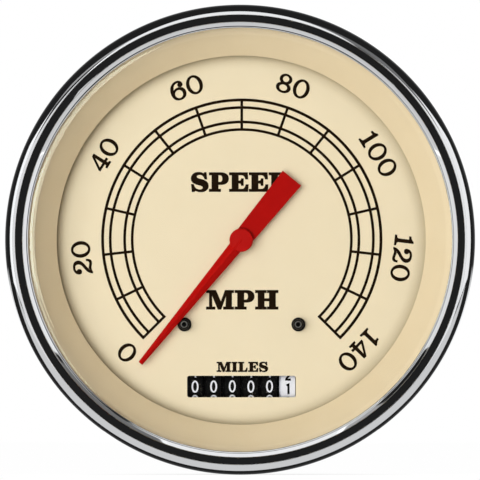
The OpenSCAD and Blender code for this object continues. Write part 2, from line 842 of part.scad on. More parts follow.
module odometer_wheel() {
  color("peru")
    translate([counter_x, -odometer_drop, z_odometer])
      along_x()
        worm_wheel(third_wheel_r, third_module, 90, odometer_r + run_gap, wheel_x0 - counter_x,
          cheek_right - counter_x - 0.15);
}

module odometer_shaft() {
  color("silver")
    translate([0, -odometer_drop, z_odometer])
      along_x() rod(odometer_r, cheek_left - cheek_t, cheek_right + cheek_t);
}

module pinion_shaft() {
  color("silver")
    translate([0, pinion_y, pinion_z])
      along_x() rod(pinion_d / 2, cheek_left - cheek_t, cheek_right + cheek_t);
}

module cheek(x0, side) {
  foot_x = side > 0 ? x0 + cheek_t : x0 - foot_w;
  color("silver")
    difference() {
      intersection() {
        union() {
          block(x0, x0 + cheek_t, cheek_low, cheek_top, z_platform, cheek_front);
          block(foot_x, foot_x + foot_w, cheek_low, cheek_top, z_platform, z_platform + cheek_t);
        }
        rod(clear_r, z_platform - 1, cheek_front + 1);
      }
      translate([x0, -odometer_drop, z_odometer]) along_x() rod(odometer_r + seat_gap, -1, cheek_t + 1);
      translate([x0, pinion_y, pinion_z]) along_x() rod(pinion_d / 2 + seat_gap, -1, cheek_t + 1);
      translate([foot_x + foot_w / 2, -odometer_drop])
        rod(foot_screw_r + 0.1, z_platform - 1, z_platform + cheek_t + 1);
    }
}

module odometer_plate_left() {
  cheek(cheek_left - cheek_t, -1);
}

module odometer_plate_right() {
  cheek(cheek_right, 1);
}

module odometer_screws() {
  color("gray")
    for (x = [cheek_left - cheek_t - foot_w / 2, cheek_right + cheek_t + foot_w / 2])
      translate([x, -odometer_drop, z_platform + cheek_t]) slotted_screw(foot_screw_r, cheek_t + platform_t);
}

module drum(place, geared, locked, shade) {
  b = band_w / 2;
  bore = odometer_r + run_gap;
  left = locked ? -b - side_w : -b;
  right = geared ? b + side_w : b;
  color(shade)
    translate([((drums - 1) / 2 - place) * drum_pitch, -odometer_drop, z_odometer])
      along_x()
        difference() {
          union() {
            rod(drum_r, -b, b);
            if (geared)
              rotate([0, 0, -45 + 180 / drum_teeth])
                translate([0, 0, b - 0.1])
                  linear_extrude(side_w + 0.1) polygon(gear_points(drum_teeth, drum_gear_r, drum_module));
            if (locked) {
              rod(lock_r, -b - side_w, -b + 0.1);
              for (a = [55, 73])
                rotate([0, 0, a])
                  block(lock_r - 0.3, drum_gear_r + tooth_add * drum_module, -0.3, 0.3, -b - side_w, -b + 0.1);
            }
          }
          rod(bore, left - 1, right + 1);
          tube(drum_r - 1.1, bore + 1.1, -b + 0.9, b - 0.9);
        }
}

module drum_tenths() {
  drum(0, false, true, "ivory");
}

module drum_units() {
  drum(1, true, true, "black");
}

module drum_tens() {
  drum(2, true, true, "black");
}

module drum_hundreds() {
  drum(3, true, true, "black");
}

module drum_thousands() {
  drum(4, true, true, "black");
}

module drum_ten_thousands() {
  drum(5, true, false, "black");
}

module transfer_pinion(place) {
  half = (drum_pitch - band_w) / 2 - 0.1;
  color("tan")
    translate([((drums - 1) / 2 - place + 0.5) * drum_pitch, pinion_y, pinion_z])
      along_x()
        difference() {
          union() {
            rotate([0, 0, 135])
              translate([0, 0, -half])
                linear_extrude(half) polygon(gear_points(pinion_teeth, pinion_gear_r, drum_module));
            rotate([0, 0, 90])
              translate([0, 0, -0.1])
                linear_extrude(half + 0.1) polygon(gear_points(pinion_teeth, pinion_gear_r, drum_module, 2));
          }
          rod(pinion_d / 2 + run_gap, -half - 1, half + 1);
        }
}

module transfer_pinion_1() {
  transfer_pinion(1);
}

module transfer_pinion_2() {
  transfer_pinion(2);
}

module transfer_pinion_3() {
  transfer_pinion(3);
}

module transfer_pinion_4() {
  transfer_pinion(4);
}

module transfer_pinion_5() {
  transfer_pinion(5);
}

module cable_ferrule() {
  color("gainsboro")
    difference() {
      union() {
        rod(spigot_r, z_back - 0.1, z_base);
        translate([0, 0, z_hex]) cylinder(r = ferrule_hex / 2 / cos(30), h = ferrule_hex_t, $fn = 6);
        revolve([[0, z_end], [ferrule_r - 0.8, z_end], [ferrule_r, z_end + 0.8], [ferrule_r, z_hex + 0.1],
          [0, z_hex + 0.1]]);
      }
      rod(ferrule_bore_r, z_seat + seat_wall, z_base + 1);
      rod(drive_r + 0.4, z_seat - 1, z_seat + seat_wall + 1);
      rod(cable_seat_d / 2, z_end - 1, z_seat);
    }
}

module mounting_studs() {
  r = stud_d / 2;
  color("gainsboro")
    for (x = [-1, 1])
      translate([x * stud_spacing / 2, 0])
        revolve([[0, z_back - stud_len], [r - 0.6, z_back - stud_len], [r, z_back - stud_len + 0.6],
          [r, z_back - 0.6], [stud_root_r, z_back], [stud_root_r, z_base_back], [stud_head_r, z_base_back],
          [stud_head_r, z_base_back + 1.2], [0, z_base_back + 1.2]]);
}

module lamp_socket(side) {
  color("dimgray")
    translate([side * lamp_x, lamp_y])
      difference() {
        revolve([[0, z_back - socket_cap], [socket_r - 1, z_back - socket_cap],
          [socket_r - 0.6, z_back - socket_cap + 0.4],
          [socket_r - 0.6, z_back - 1.6], [socket_r + 2, z_back - 1.6], [socket_r + 2, z_back],
          [socket_r, z_back], [socket_r, z_back + socket_deep], [0, z_back + socket_deep]]);
        rod(bulb_base_r + seat_gap, z_back, z_back + socket_deep + 1);
        block(-tab_t / 2 - 0.05, tab_t / 2 + 0.05, -tab_w / 2 - 0.05, tab_w / 2 + 0.05, z_back - socket_cap - 1,
          z_back - socket_cap * 0.45);
      }
}

module lamp_socket_left() {
  lamp_socket(-1);
}

module lamp_socket_right() {
  lamp_socket(1);
}

module lamp_bulb(side) {
  top = z_back + socket_deep;
  color([0.95, 0.95, 0.85])
    translate([side * lamp_x, lamp_y])
      revolve(concat(
        [[0, z_back], [bulb_base_r, z_back], [bulb_base_r, top], [bulb_r, top + 0.8],
          [bulb_r, top + bulb_len - bulb_r]],
        arc(0, top + bulb_len - bulb_r, bulb_r, 10, 80, 7), [[0, top + bulb_len]]));
}

module lamp_bulb_left() {
  lamp_bulb(-1);
}

module lamp_bulb_right() {
  lamp_bulb(1);
}

module lamp_tabs() {
  color("goldenrod")
    for (x = [-1, 1])
      translate([x * lamp_x, lamp_y])
        block(-tab_t / 2, tab_t / 2, -tab_w / 2, tab_w / 2, z_back - socket_cap - tab_len,
          z_back - socket_cap * 0.45);
}

stand() case_cup();
stand() bezel();
stand() lens();
stand() lens_gasket();
stand() trim_ring();
stand() dial_plate();
stand() zero_stop();
stand() full_scale_stop();
stand() pointer_needle();
stand() pointer_tail();
stand() pointer_bush();
stand() pointer_spindle();
stand() speed_cup();
stand() spring_collet();
stand() hairspring();
stand() spring_stud();
stand() bridge();
stand() bridge_screws();
stand() spindle_bush();
stand() movement_frame();
stand() movement_screws();
stand() flux_ring();
stand() front_bush();
stand() rear_bush();
stand() drive_shaft();
stand() drive_worm();
stand() magnet();
stand() magnet_carrier();
stand() cross_shaft();
stand() cross_wheel();
stand() cross_worm();
stand() counter_shaft();
stand() counter_wheel();
stand() counter_worm();
stand() odometer_wheel();
stand() odometer_shaft();
stand() odometer_plate_left();
stand() odometer_plate_right();
stand() odometer_screws();
stand() drum_tenths();
stand() drum_units();
stand() drum_tens();
stand() drum_hundreds();
stand() drum_thousands();
stand() drum_ten_thousands();
stand() pinion_shaft();
stand() transfer_pinion_1();
stand() transfer_pinion_2();
stand() transfer_pinion_3();
stand() transfer_pinion_4();
stand() transfer_pinion_5();
stand() cable_ferrule();
stand() mounting_studs();
stand() lamp_socket_left();
stand() lamp_socket_right();
stand() lamp_bulb_left();
stand() lamp_bulb_right();
stand() lamp_tabs();
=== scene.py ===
import json
import math

import bmesh
import bpy
from mathutils import Matrix, Vector
from mathutils.geometry import tessellate_polygon


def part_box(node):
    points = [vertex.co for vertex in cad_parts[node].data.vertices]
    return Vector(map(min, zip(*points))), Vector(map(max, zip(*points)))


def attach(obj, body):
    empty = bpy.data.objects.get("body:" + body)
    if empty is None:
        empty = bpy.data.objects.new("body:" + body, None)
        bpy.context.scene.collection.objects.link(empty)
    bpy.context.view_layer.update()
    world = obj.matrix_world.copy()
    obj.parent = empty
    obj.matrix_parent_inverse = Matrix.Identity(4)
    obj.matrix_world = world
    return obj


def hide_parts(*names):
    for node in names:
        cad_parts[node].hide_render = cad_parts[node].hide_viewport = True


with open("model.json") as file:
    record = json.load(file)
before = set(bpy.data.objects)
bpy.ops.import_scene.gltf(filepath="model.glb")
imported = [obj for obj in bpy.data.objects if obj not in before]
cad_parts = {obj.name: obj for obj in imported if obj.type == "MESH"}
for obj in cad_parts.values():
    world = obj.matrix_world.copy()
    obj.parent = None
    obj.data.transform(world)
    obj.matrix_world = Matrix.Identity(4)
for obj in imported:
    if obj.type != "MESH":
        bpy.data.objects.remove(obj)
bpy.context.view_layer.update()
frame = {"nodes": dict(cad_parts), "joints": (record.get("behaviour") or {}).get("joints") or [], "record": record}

# Sizes are in millimetres on the face: x to the right, y up, z towards the driver
MM = 0.001
QUARTER = math.pi / 2
# Points closer than this, in metres, are one, and edges sharper than this, in degrees, stay sharp
SEAM, CREASE = 1e-7, 35


def spot(x, y, z):
    """A place on the face as a point of the frame, in metres."""
    return Vector((x * MM, -z * MM, y * MM))


def right_of(node):
    """How far to the right of the axis a solid goes, which is the radius of a round one."""
    return round(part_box(node)[1][0] / MM, 4)


def front_of(node):
    """The height of a solid's front above the panel."""
    return round(-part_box(node)[0][1] / MM, 4)


def back_of(node):
    """The height of a solid's back above the panel."""
    return round(-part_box(node)[1][1] / MM, 4)


def joint_of(body):
    return next(joint for joint in frame["joints"] if joint["child"] == body)


# Bezel, its bands from the outside to the opening
BEZEL_R, CROWN_Z, SHEET = right_of("bezel"), front_of("bezel"), 0.8
LAND_R = BEZEL_R - 1.1
SLOPE_R = LAND_R - 1.6
LIP_R = SLOPE_R - 1.9
APERTURE_R = LIP_R - 1.5
# Its hem, the rounds of its crown and its lip, how far the lip dips, and how the bands lean
HEM_R, EDGE_R, LIP_ROUND, DIP = 59.0, 0.08, 0.22, 0.22
LAND_START, LAND_FALL, SLOPE_FALL, EDGE_END = (math.radians(turn) for turn in (4, 25, 35, 48))

# Glass, under the lip, with an eased front edge
GLASS_R, GLASS_Z, LIP_Z = right_of("lens"), back_of("lens"), front_of("lens")
LIP_TOP_Z = LIP_Z + SHEET
EASE_FROM_R, EASE_ARC, EASE_TURN, GLASS_CHAMFER = 54.0, 8.5, math.radians(15), 0.3

# Trim ring: a flange, and a cone down to the sight, the rolled edge that the dial shows through
RING_R, RING_Z, RING_T = right_of("trim_ring"), front_of("trim_ring"), 0.7
CONE_R, SIGHT_R, SIGHT_Z, CONE_ROLL, SIGHT_ROLL = 56.4, 48.8, -3.96, 0.22, 0.42

# Dial and its window
DIAL_R, DIAL_Z, DIAL_BACK = right_of("dial_plate"), front_of("dial_plate"), back_of("dial_plate")
WINDOW_W, WINDOW_H, WINDOW_ROUND, SPINDLE_HOLE_R = 28.75, 5.7, 0.6, 2.0

# Pointer, from the middle of its hub, and the line that it rests on
SWEEP = joint_of("pointer")["range_deg"][1]
REST = math.radians(270 - (360 - SWEEP) / 2)
NEEDLE_Z = back_of("pointer_needle")
HUB_R, HUB_T, HUB_ROUND = 3.1, 1.3, 0.35
TAIL_LEN, TAIL_HALF_W, TAIL_T = 21.2, 3.15, NEEDLE_Z - back_of("pointer_tail")

# Stop posts
STOP_FOOT_R, STOP_POST_R, STOP_SHANK_R, STOP_DIMPLE_R = 1.85, 1.3, 1.0, 0.45
STOP_X = right_of("full_scale_stop") - STOP_FOOT_R
STOP_Y = round(sum(corner[2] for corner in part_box("full_scale_stop")) / 2 / MM, 4)
STOP_TOP, STOP_BACK = front_of("full_scale_stop"), back_of("full_scale_stop")

# Odometer
AXLE = joint_of("tenths")["pos_m"]
AXLE_Y, AXLE_Z = AXLE[2] / MM, -AXLE[1] / MM
DRUM_R = AXLE_Z - back_of("drum_units")
DRUM_PITCH = right_of("drum_units") - right_of("drum_tens")

# Back of the case
BACK_Z, END_Z = back_of("case_cup"), back_of("cable_ferrule")
FITTING_R, FITTING_CORE_R, HEX_HALF, HEX_T, HEX_BORE_R = 7.94, 7.2, 11.0, 4.0, 6.9
TIP_SEAT_R, TIP_SEAT_DEEP, SHAFT_BORE_R, BUSH_BORE_R = 4.2, 5.0, 2.9, 5.0
HEX_Z, SEAT_Z = BACK_Z - HEX_T, END_Z + TIP_SEAT_DEEP
STUD_R, STUD_CORE_R, STUD_ROOT_R, STUD_HEAD_R, STUD_END = 2.4, 2.05, 2.88, 5.04, back_of("mounting_studs")
STUD_X = right_of("mounting_studs") - STUD_HEAD_R

# Camera, a little to the right of the axis and below it
AIM, REACH, LENS = spot(0.0, -0.08, 7.2), 4.0, 1138.0
SIDE, RISE = math.radians(1.5), math.radians(-0.6)
camera = bpy.data.objects.new("camera", bpy.data.cameras.new("camera"))
camera.data.sensor_width = 36
camera.data.lens = LENS
camera.data.clip_start, camera.data.clip_end = 0.5, 20
camera.location = AIM + REACH * Vector((math.sin(SIDE), -math.cos(SIDE), math.tan(RISE)))
camera.rotation_euler = (AIM - camera.location).to_track_quat("-Z", "Y").to_euler()
bpy.context.scene.collection.objects.link(camera)
bpy.context.scene.camera = camera
bpy.context.scene.view_settings.view_transform = "Standard"


# Node trees
class Wiring:
    """Adds nodes to a tree. Their inputs, by name or number, take values or links."""

    def __init__(self, tree):
        self.tree = tree

    def add(self, kind, inputs=None, **settings):
        node = self.tree.nodes.new(kind)
        for key, value in settings.items():
            setattr(node, key, value)
        for key, source in (inputs or {}).items():
            self.feed(node.inputs[key], source)
        return node

    def feed(self, socket, source):
        if isinstance(source, bpy.types.NodeSocket):
            self.tree.links.new(source, socket)
        else:
            socket.default_value = source

    def maths(self, operation, a, b=0.0):
        return self.add("ShaderNodeMath", {0: a, 1: b}, operation=operation).outputs[0]

    def noise(self, where, scale, detail):
        grain = {"Vector": where, "Scale": scale, "Detail": detail}
        return self.add("ShaderNodeTexNoise", grain).outputs["Fac"]

    def ranged(self, value, start, end, **settings):
        ends = {"From Min": start[0], "From Max": start[1], "To Min": end[0], "To Max": end[1]}
        return self.add("ShaderNodeMapRange", {"Value": value, **ends}, **settings).outputs["Result"]

    def mixed(self, share, first, second, kind="RGBA", **settings):
        node = self.add("ShaderNodeMix", data_type=kind, **settings)
        for key, source in (("Factor", share), ("A", first), ("B", second)):
            self.feed(node.inputs[key], source)
        return node.outputs["Result"]

    def both(self, share, first, second):
        return self.add("ShaderNodeMixShader", {"Fac": share, 1: first, 2: second}).outputs["Shader"]


# Finishes
def shade(r, g, b):
    """A colour as a screen shows it, from 0 to 255, as a shader takes it."""
    def straight(c):
        c /= 255
        return c / 12.92 if c <= 0.04045 else ((c + 0.055) / 1.055) ** 2.4
    return straight(r), straight(g), straight(b), 1.0


def blank(name):
    """A new material, its plain shader and its wiring."""
    made = bpy.data.materials.new(name)
    made.use_nodes = True
    return made, made.node_tree.nodes["Principled BSDF"], Wiring(made.node_tree)


def on_piece(wires):
    """Places on a piece, which a pattern follows."""
    return wires.add("ShaderNodeTexCoord").outputs["Object"]


def show(made, wires, shader):
    wires.feed(made.node_tree.nodes["Material Output"].inputs["Surface"], shader)


def finish(name, tone, second, grain, gloss, metal=0.0, bump=0.0, fine=5000, stretch=(1, 1, 1), shine=0.5,
           dust=None):
    """A finish whose colour drifts between two tones, with a gloss that varies and a fine grain."""
    made, skin, wires = blank(name)
    lie = wires.add("ShaderNodeMapping", {"Vector": on_piece(wires), "Scale": stretch}).outputs["Vector"]
    colour = wires.mixed(wires.noise(lie, grain, 3), tone, second)
    if dust:
        flecks = wires.ranged(wires.noise(lie, DUST_GRAIN, 4), (0.6, 0.72), (0.0, 0.5))
        colour = wires.mixed(flecks, colour, dust)
    speck = wires.noise(lie, fine, 2)
    wires.feed(skin.inputs["Base Color"], colour)
    wires.feed(skin.inputs["Roughness"], wires.ranged(speck, (0.3, 0.7), gloss))
    skin.inputs["Metallic"].default_value = metal
    skin.inputs["Specular IOR Level"].default_value = shine
    if bump:
        rough = wires.add("ShaderNodeBump", {"Strength": bump, "Distance": GRAIN_DEPTH, "Height": speck})
        wires.feed(skin.inputs["Normal"], rough.outputs["Normal"])
    return made


def pane(name, tint, haze):
    """Clear glass: seen through, with a mirror skin that grows towards the edge of view."""
    made, skin, wires = blank(name)
    made.node_tree.nodes.remove(skin)
    dull = wires.ranged(wires.noise(on_piece(wires), SMEAR_GRAIN, 2), (0, 1), (haze * 0.3, haze))
    through = wires.add("ShaderNodeBsdfTransparent", {"Color": tint}).outputs["BSDF"]
    mirror = wires.add("ShaderNodeBsdfGlossy", {"Color": (1, 1, 1, 1), "Roughness": dull}).outputs["BSDF"]
    slant = wires.add("ShaderNodeLayerWeight", {"Blend": 0.25}).outputs["Facing"]
    show(made, wires, wires.both(wires.ranged(slant, (0, 1), (0.035, 0.6)), through, mirror))
    return made


def aged_edge(made, start, end, tone):
    """Painted shade: darkens a finish from one radius to another, towards the dial's rim under the trim ring."""
    wires, skin = Wiring(made.node_tree), made.node_tree.nodes["Principled BSDF"]
    colour = skin.inputs["Base Color"].links[0].from_socket
    flat = wires.add("ShaderNodeMapping", {"Vector": on_piece(wires), "Scale": (1, 0, 1)})
    far = wires.add("ShaderNodeVectorMath", {0: flat.outputs["Vector"]}, operation="LENGTH")
    stretch = (start * MM, end * MM)
    ramp = wires.ranged(far.outputs["Value"], stretch, (0.0, 1.0), interpolation_type="SMOOTHSTEP")
    wires.feed(skin.inputs["Base Color"], wires.mixed(ramp, colour, tone, blend_type="MULTIPLY"))


# Scales of the patterns are in waves to the metre, and the depth of the grain is in metres
DUST_GRAIN, SMEAR_GRAIN, GRAIN_DEPTH = 1900, 60, 0.00004
# Radii between which the dial's colour darkens: painted shade under the trim ring's edge
RIM_SHADE_FROM_R, RIM_SHADE_TO_R = 45.0, 50.5
ALONG_SHAFT = (1, 6, 1)
LOOKS = {
    "bezel_chrome": dict(tone=(0.86, 0.87, 0.88, 1), second=(0.82, 0.83, 0.85, 1), grain=90,
                         gloss=(0.015, 0.045), metal=1.0),
    "gasket_rubber": dict(tone=shade(38, 37, 36), second=shade(52, 50, 48), grain=900, gloss=(0.7, 0.85),
                          bump=0.4, fine=3000),
    "trim_cream": dict(tone=shade(236, 216, 183), second=shade(230, 209, 174), grain=120,
                       gloss=(0.34, 0.46), bump=0.12, fine=4000, shine=0.25),
    "dial_cream": dict(tone=shade(244, 227, 197), second=shade(240, 222, 190), grain=140, gloss=(0.55, 0.7),
                       bump=0.18, fine=3500, shine=0.15),
    "stop_black": dict(tone=shade(11, 10, 10), second=shade(18, 17, 16), grain=700, gloss=(0.15, 0.22),
                       bump=0.05, fine=4000, shine=0.15),
    "pointer_red": dict(tone=shade(186, 12, 8), second=shade(176, 10, 6), grain=260, gloss=(0.3, 0.42),
                        bump=0.1, fine=2500, shine=0.05),
    "tail_red": dict(tone=shade(178, 10, 6), second=shade(170, 8, 5), grain=260, gloss=(0.35, 0.48),
                     bump=0.1, fine=2500, shine=0.04),
    "brass": dict(tone=shade(214, 176, 96), second=shade(190, 148, 74), grain=300, gloss=(0.2, 0.38),
                  metal=1.0, bump=0.1, fine=3000, stretch=ALONG_SHAFT),
    "spring_bronze": dict(tone=shade(176, 128, 84), second=shade(150, 108, 74), grain=400,
                          gloss=(0.25, 0.4), metal=1.0),
    "steel": dict(tone=shade(176, 178, 182), second=shade(148, 150, 156), grain=300, gloss=(0.22, 0.4),
                  metal=1.0, bump=0.1, fine=3000, stretch=ALONG_SHAFT),
    "cup_aluminium": dict(tone=shade(214, 216, 218), second=shade(196, 198, 202), grain=350,
                          gloss=(0.3, 0.45), metal=1.0),
    "magnet_alloy": dict(tone=shade(92, 90, 90), second=shade(70, 68, 70), grain=260, gloss=(0.45, 0.65),
                         metal=1.0, bump=0.3),
    "soft_iron": dict(tone=shade(112, 112, 116), second=shade(92, 92, 96), grain=260, gloss=(0.35, 0.55),
                      metal=1.0, bump=0.2),
    "zinc_casting": dict(tone=shade(158, 160, 162), second=shade(134, 136, 140), grain=220,
                         gloss=(0.42, 0.6), metal=1.0, bump=0.5, fine=1800),
    "plated_case": dict(tone=shade(214, 214, 210), second=shade(198, 199, 198), grain=90,
                        gloss=(0.48, 0.58), metal=1.0, bump=0.04, fine=1600),
    "plated_fittings": dict(tone=shade(206, 202, 186), second=shade(180, 176, 164), grain=240,
                            gloss=(0.2, 0.36), metal=1.0, bump=0.1),
    "fibre": dict(tone=shade(120, 84, 56), second=shade(98, 66, 44), grain=400, gloss=(0.5, 0.7), bump=0.3,
                  fine=2500),
    "drum_black": dict(tone=shade(8, 7, 8), second=shade(13, 12, 12), grain=500, gloss=(0.35, 0.55),
                       bump=0.2, fine=3000, shine=0.04, dust=shade(96, 92, 84)),
    "drum_white": dict(tone=shade(242, 240, 248), second=shade(226, 224, 233), grain=300, gloss=(0.4, 0.55),
                       bump=0.15, fine=3000),
    # A grey ring on each stop post's top: a painted highlight of the post's rim
    "rim_highlight_grey": dict(tone=shade(104, 102, 98), second=shade(70, 68, 66), grain=900, gloss=(0.3, 0.45),
                     bump=0.1, fine=4000),
    "print_ink": dict(tone=shade(22, 12, 3), second=shade(33, 20, 7), grain=500, gloss=(0.6, 0.75),
                      bump=0.15, fine=4000, shine=0.04),
}
FINISHES = {name: finish(name, **how) for name, how in LOOKS.items()}
FINISHES["clear_glass"] = pane("clear_glass", (0.985, 0.995, 0.99, 1), 0.05)
FINISHES["lamp_glass"] = pane("lamp_glass", (0.9, 0.88, 0.8, 1), 0.3)
# The dial's rim gets painted shade, as the trim ring would cast on it
aged_edge(FINISHES["dial_cream"], RIM_SHADE_FROM_R, RIM_SHADE_TO_R, (0.6, 0.57, 0.5, 1))
for part in frame["record"]["subparts"]:
    for slot in frame["nodes"][part["node"]].material_slots:
        slot.material = FINISHES[part["material_slot"]]


# Shapes
def cleaned(mesh, crease):
    """Closes the seams of a mesh, turns its faces outwards and smooths it between its creases."""
    work = bmesh.new()
    work.from_mesh(mesh)
    bmesh.ops.remove_doubles(work, verts=work.verts, dist=SEAM)
    bmesh.ops.recalc_face_normals(work, faces=work.faces)
    work.to_mesh(mesh)
    work.free()
    mesh.polygons.foreach_set("use_smooth", [True] * len(mesh.polygons))
    mesh.set_sharp_from_angle(angle=math.radians(crease))


def piece(name, shapes, slot, body="gauge", stands_for=(), crease=CREASE, skin=None):
    """One named piece from lists of points and faces."""
    points, faces = [], []
    for some_points, some_faces in shapes:
        faces += [[i + len(points) for i in face] for face in some_faces]
        points += some_points
    mesh = bpy.data.meshes.new(name)
    mesh.from_pydata(points, [], faces)
    mesh.materials.append(FINISHES[skin or slot])
    cleaned(mesh, crease)
    made = bpy.data.objects.new(name, mesh)
    bpy.context.scene.collection.objects.link(made)
    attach(made, body)
    if stands_for:
        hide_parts(*stands_for)
    return made


def arc(x, y, r, start, end, n):
    turns = [start + (end - start) * i / n for i in range(n + 1)]
    return [(x + r * math.cos(a), y + r * math.sin(a)) for a in turns]


def bend(a, b, c, n):
    """A curve from a to c that leaves and arrives towards b."""
    points = []
    for q in (i / n for i in range(n + 1)):
        points.append(tuple((1 - q) ** 2 * a[k] + 2 * q * (1 - q) * b[k] + q * q * c[k] for k in (0, 1)))
    return points


def ellipse(x, y, rx, ry, n=40):
    return [(x + rx * math.cos(math.tau * i / n), y + ry * math.sin(math.tau * i / n)) for i in range(n)]


def turned(profile, x=0.0, y=0.0, steps=288):
    """A closed profile of radius and height, turned round an axis that points out of the face."""
    points, faces, n = [], [], len(profile)
    for i in range(steps):
        c, s = math.cos(math.tau * i / steps), math.sin(math.tau * i / steps)
        points += [spot(x + r * c, y + r * s, z) for r, z in profile]
    for i in range(steps):
        a, b = i * n, (i + 1) % steps * n
        for j in range(n):
            k = (j + 1) % n
            if profile[j][0] == 0 and profile[k][0] == 0:
                continue
            if profile[j][0] == 0:
                faces.append([a + j, b + k, a + k])
            elif profile[k][0] == 0:
                faces.append([a + j, b + j, a + k])
            else:
                faces.append([a + j, b + j, b + k, a + k])
    return points, faces


def slab(loops, low, high, where):
    """A flat shape with holes, given by its outline and hole loops, raised from low to high."""
    flat = [p for loop in loops for p in loop]
    triangles = tessellate_polygon([[Vector((u, v, 0)) for u, v in loop] for loop in loops])
    n = len(flat)
    points = [where(u, v, high) for u, v in flat] + [where(u, v, low) for u, v in flat]
    faces = [list(t) for t in triangles] + [[i + n for i in reversed(t)] for t in triangles]
    first = 0
    for loop in loops:
        for i in range(len(loop)):
            a, b = first + i, first + (i + 1) % len(loop)
            faces.append([a, b, b + n, a + n])
        first += len(loop)
    return points, faces


# Chromed bezel
def bezel_profile():
    """A section of the bezel: hem, round, land, crown, slope, step, lip, and back inside along the sheet."""
    edge_z, slope_z = CROWN_Z - EDGE_R, LIP_TOP_Z + DIP
    sines = math.sin(LAND_FALL) - math.sin(LAND_START)
    land_arc = (LAND_R - SLOPE_R - EDGE_R * (1 + math.sin(LAND_START))) / sines
    land_mid_r = SLOPE_R + EDGE_R - (land_arc - EDGE_R) * math.sin(LAND_START)
    land_mid_z = edge_z - (land_arc - EDGE_R) * math.cos(LAND_START)
    land_z = land_mid_z + land_arc * math.cos(LAND_FALL)
    round_arc = (BEZEL_R - LAND_R) / (1 - math.sin(LAND_FALL))
    skirt_z = land_z - round_arc * math.cos(LAND_FALL)
    slope_w = SLOPE_R - LIP_R - 0.05
    drop = slope_w * math.tan(SLOPE_FALL)
    step_z = edge_z - drop
    hem = [(HEM_R, 0.0)] + arc(BEZEL_R - SHEET, SHEET, SHEET, -QUARTER, 0, 10)
    outside = arc(BEZEL_R - round_arc, skirt_z, round_arc, 0, QUARTER - LAND_FALL, 22)
    land = arc(land_mid_r, land_mid_z, land_arc, QUARTER - LAND_FALL, QUARTER - LAND_START, 22)[1:]
    crown = arc(SLOPE_R + EDGE_R, edge_z, EDGE_R, QUARTER - LAND_START, QUARTER + EDGE_END, 6)[1:]
    slope = [(SLOPE_R - q * slope_w, edge_z - q * drop) for q in (0.02, 0.35, 0.7, 0.98)]
    step_r = LIP_R + 0.02
    step = bend((step_r + 0.04, step_z + 0.01), (step_r, step_z - 0.02), (step_r, step_z - 0.07), 3)
    foot = bend((LIP_R, slope_z + 0.1), (LIP_R, slope_z), (LIP_R - 0.1, slope_z - 0.02), 3)
    groove = [(LIP_R - 0.8, slope_z - 0.1), (LIP_R - 0.93, slope_z - 0.15), (LIP_R - 1.06, slope_z - 0.14)]
    lip = arc(APERTURE_R + LIP_ROUND, LIP_TOP_Z - 0.18, LIP_ROUND, QUARTER + 0.1, 2 * QUARTER, 8)
    under = [(APERTURE_R, LIP_Z), (LIP_R + 0.3, LIP_Z), (LIP_R + SHEET + 0.3, LIP_Z + 0.5)]
    inside = [(SLOPE_R + 0.2, CROWN_Z - SHEET - 0.44), (SLOPE_R + 0.6, CROWN_Z - SHEET),
              (LAND_R - 0.2, land_z - SHEET), (BEZEL_R - SHEET, skirt_z - 0.1), (BEZEL_R - SHEET, SHEET),
              (HEM_R, SHEET)]
    return hem + outside + land + crown + slope + step + foot + groove + lip + under + inside


piece("chromed_bezel", [turned(bezel_profile(), steps=360)], "bezel_chrome", stands_for=["bezel"], crease=28)


# Glass, trim ring and dial
def glass_profile():
    ease = arc(EASE_FROM_R, LIP_Z - EASE_ARC, EASE_ARC, QUARTER - EASE_TURN, QUARTER, 12)
    edge_z = ease[0][1]
    rim = [(GLASS_R - GLASS_CHAMFER, GLASS_Z), (GLASS_R, GLASS_Z + GLASS_CHAMFER),
           (GLASS_R, edge_z - GLASS_CHAMFER), (GLASS_R - GLASS_CHAMFER, edge_z)]
    return [(0, GLASS_Z)] + rim + ease + [(EASE_FROM_R - 0.5, LIP_Z), (0, LIP_Z)]


def ring_profile():
    flange = [(CONE_R + RING_T, RING_Z - RING_T), (RING_R, RING_Z - RING_T), (RING_R, RING_Z)]
    roll = bend((CONE_R, RING_Z), (CONE_R - 0.35, RING_Z), (CONE_R - 0.6, RING_Z - CONE_ROLL), 5)
    cone = [(SIGHT_R + SIGHT_ROLL + 0.03, SIGHT_Z + CONE_ROLL)]
    start, end = math.radians(115), math.radians(270)
    sight = arc(SIGHT_R + SIGHT_ROLL, SIGHT_Z - SIGHT_ROLL, SIGHT_ROLL, start, end, 10)
    return flange + roll + cone + sight + [(CONE_R + RING_T, RING_Z - RING_T - 0.2)]


def rounded_window():
    x, y = WINDOW_W / 2 - WINDOW_ROUND, WINDOW_H / 2 - WINDOW_ROUND
    corners = ((x, y), (-x, y), (-x, -y), (x, -y))
    return [p for k, (cx, cy) in enumerate(corners)
            for p in arc(cx, AXLE_Y + cy, WINDOW_ROUND, k * QUARTER, (k + 1) * QUARTER, 8)]


glass = piece("front_glass", [turned(glass_profile())], "clear_glass", stands_for=["lens"])
piece("trim_cone", [turned(ring_profile())], "trim_cream", stands_for=["trim_ring"])
spindle_hole = ellipse(0, 0, SPINDLE_HOLE_R, SPINDLE_HOLE_R)
dial_loops = [ellipse(0, 0, DIAL_R, DIAL_R, 256), rounded_window(), spindle_hole]
piece("dial_sheet", [slab(dial_loops, DIAL_BACK, DIAL_Z, spot)], "dial_cream", stands_for=["dial_plate"])


# Lettering and numbers, drawn on a cap height of 100
def closed(path):
    return math.dist(path[0], path[-1]) < 1e-6


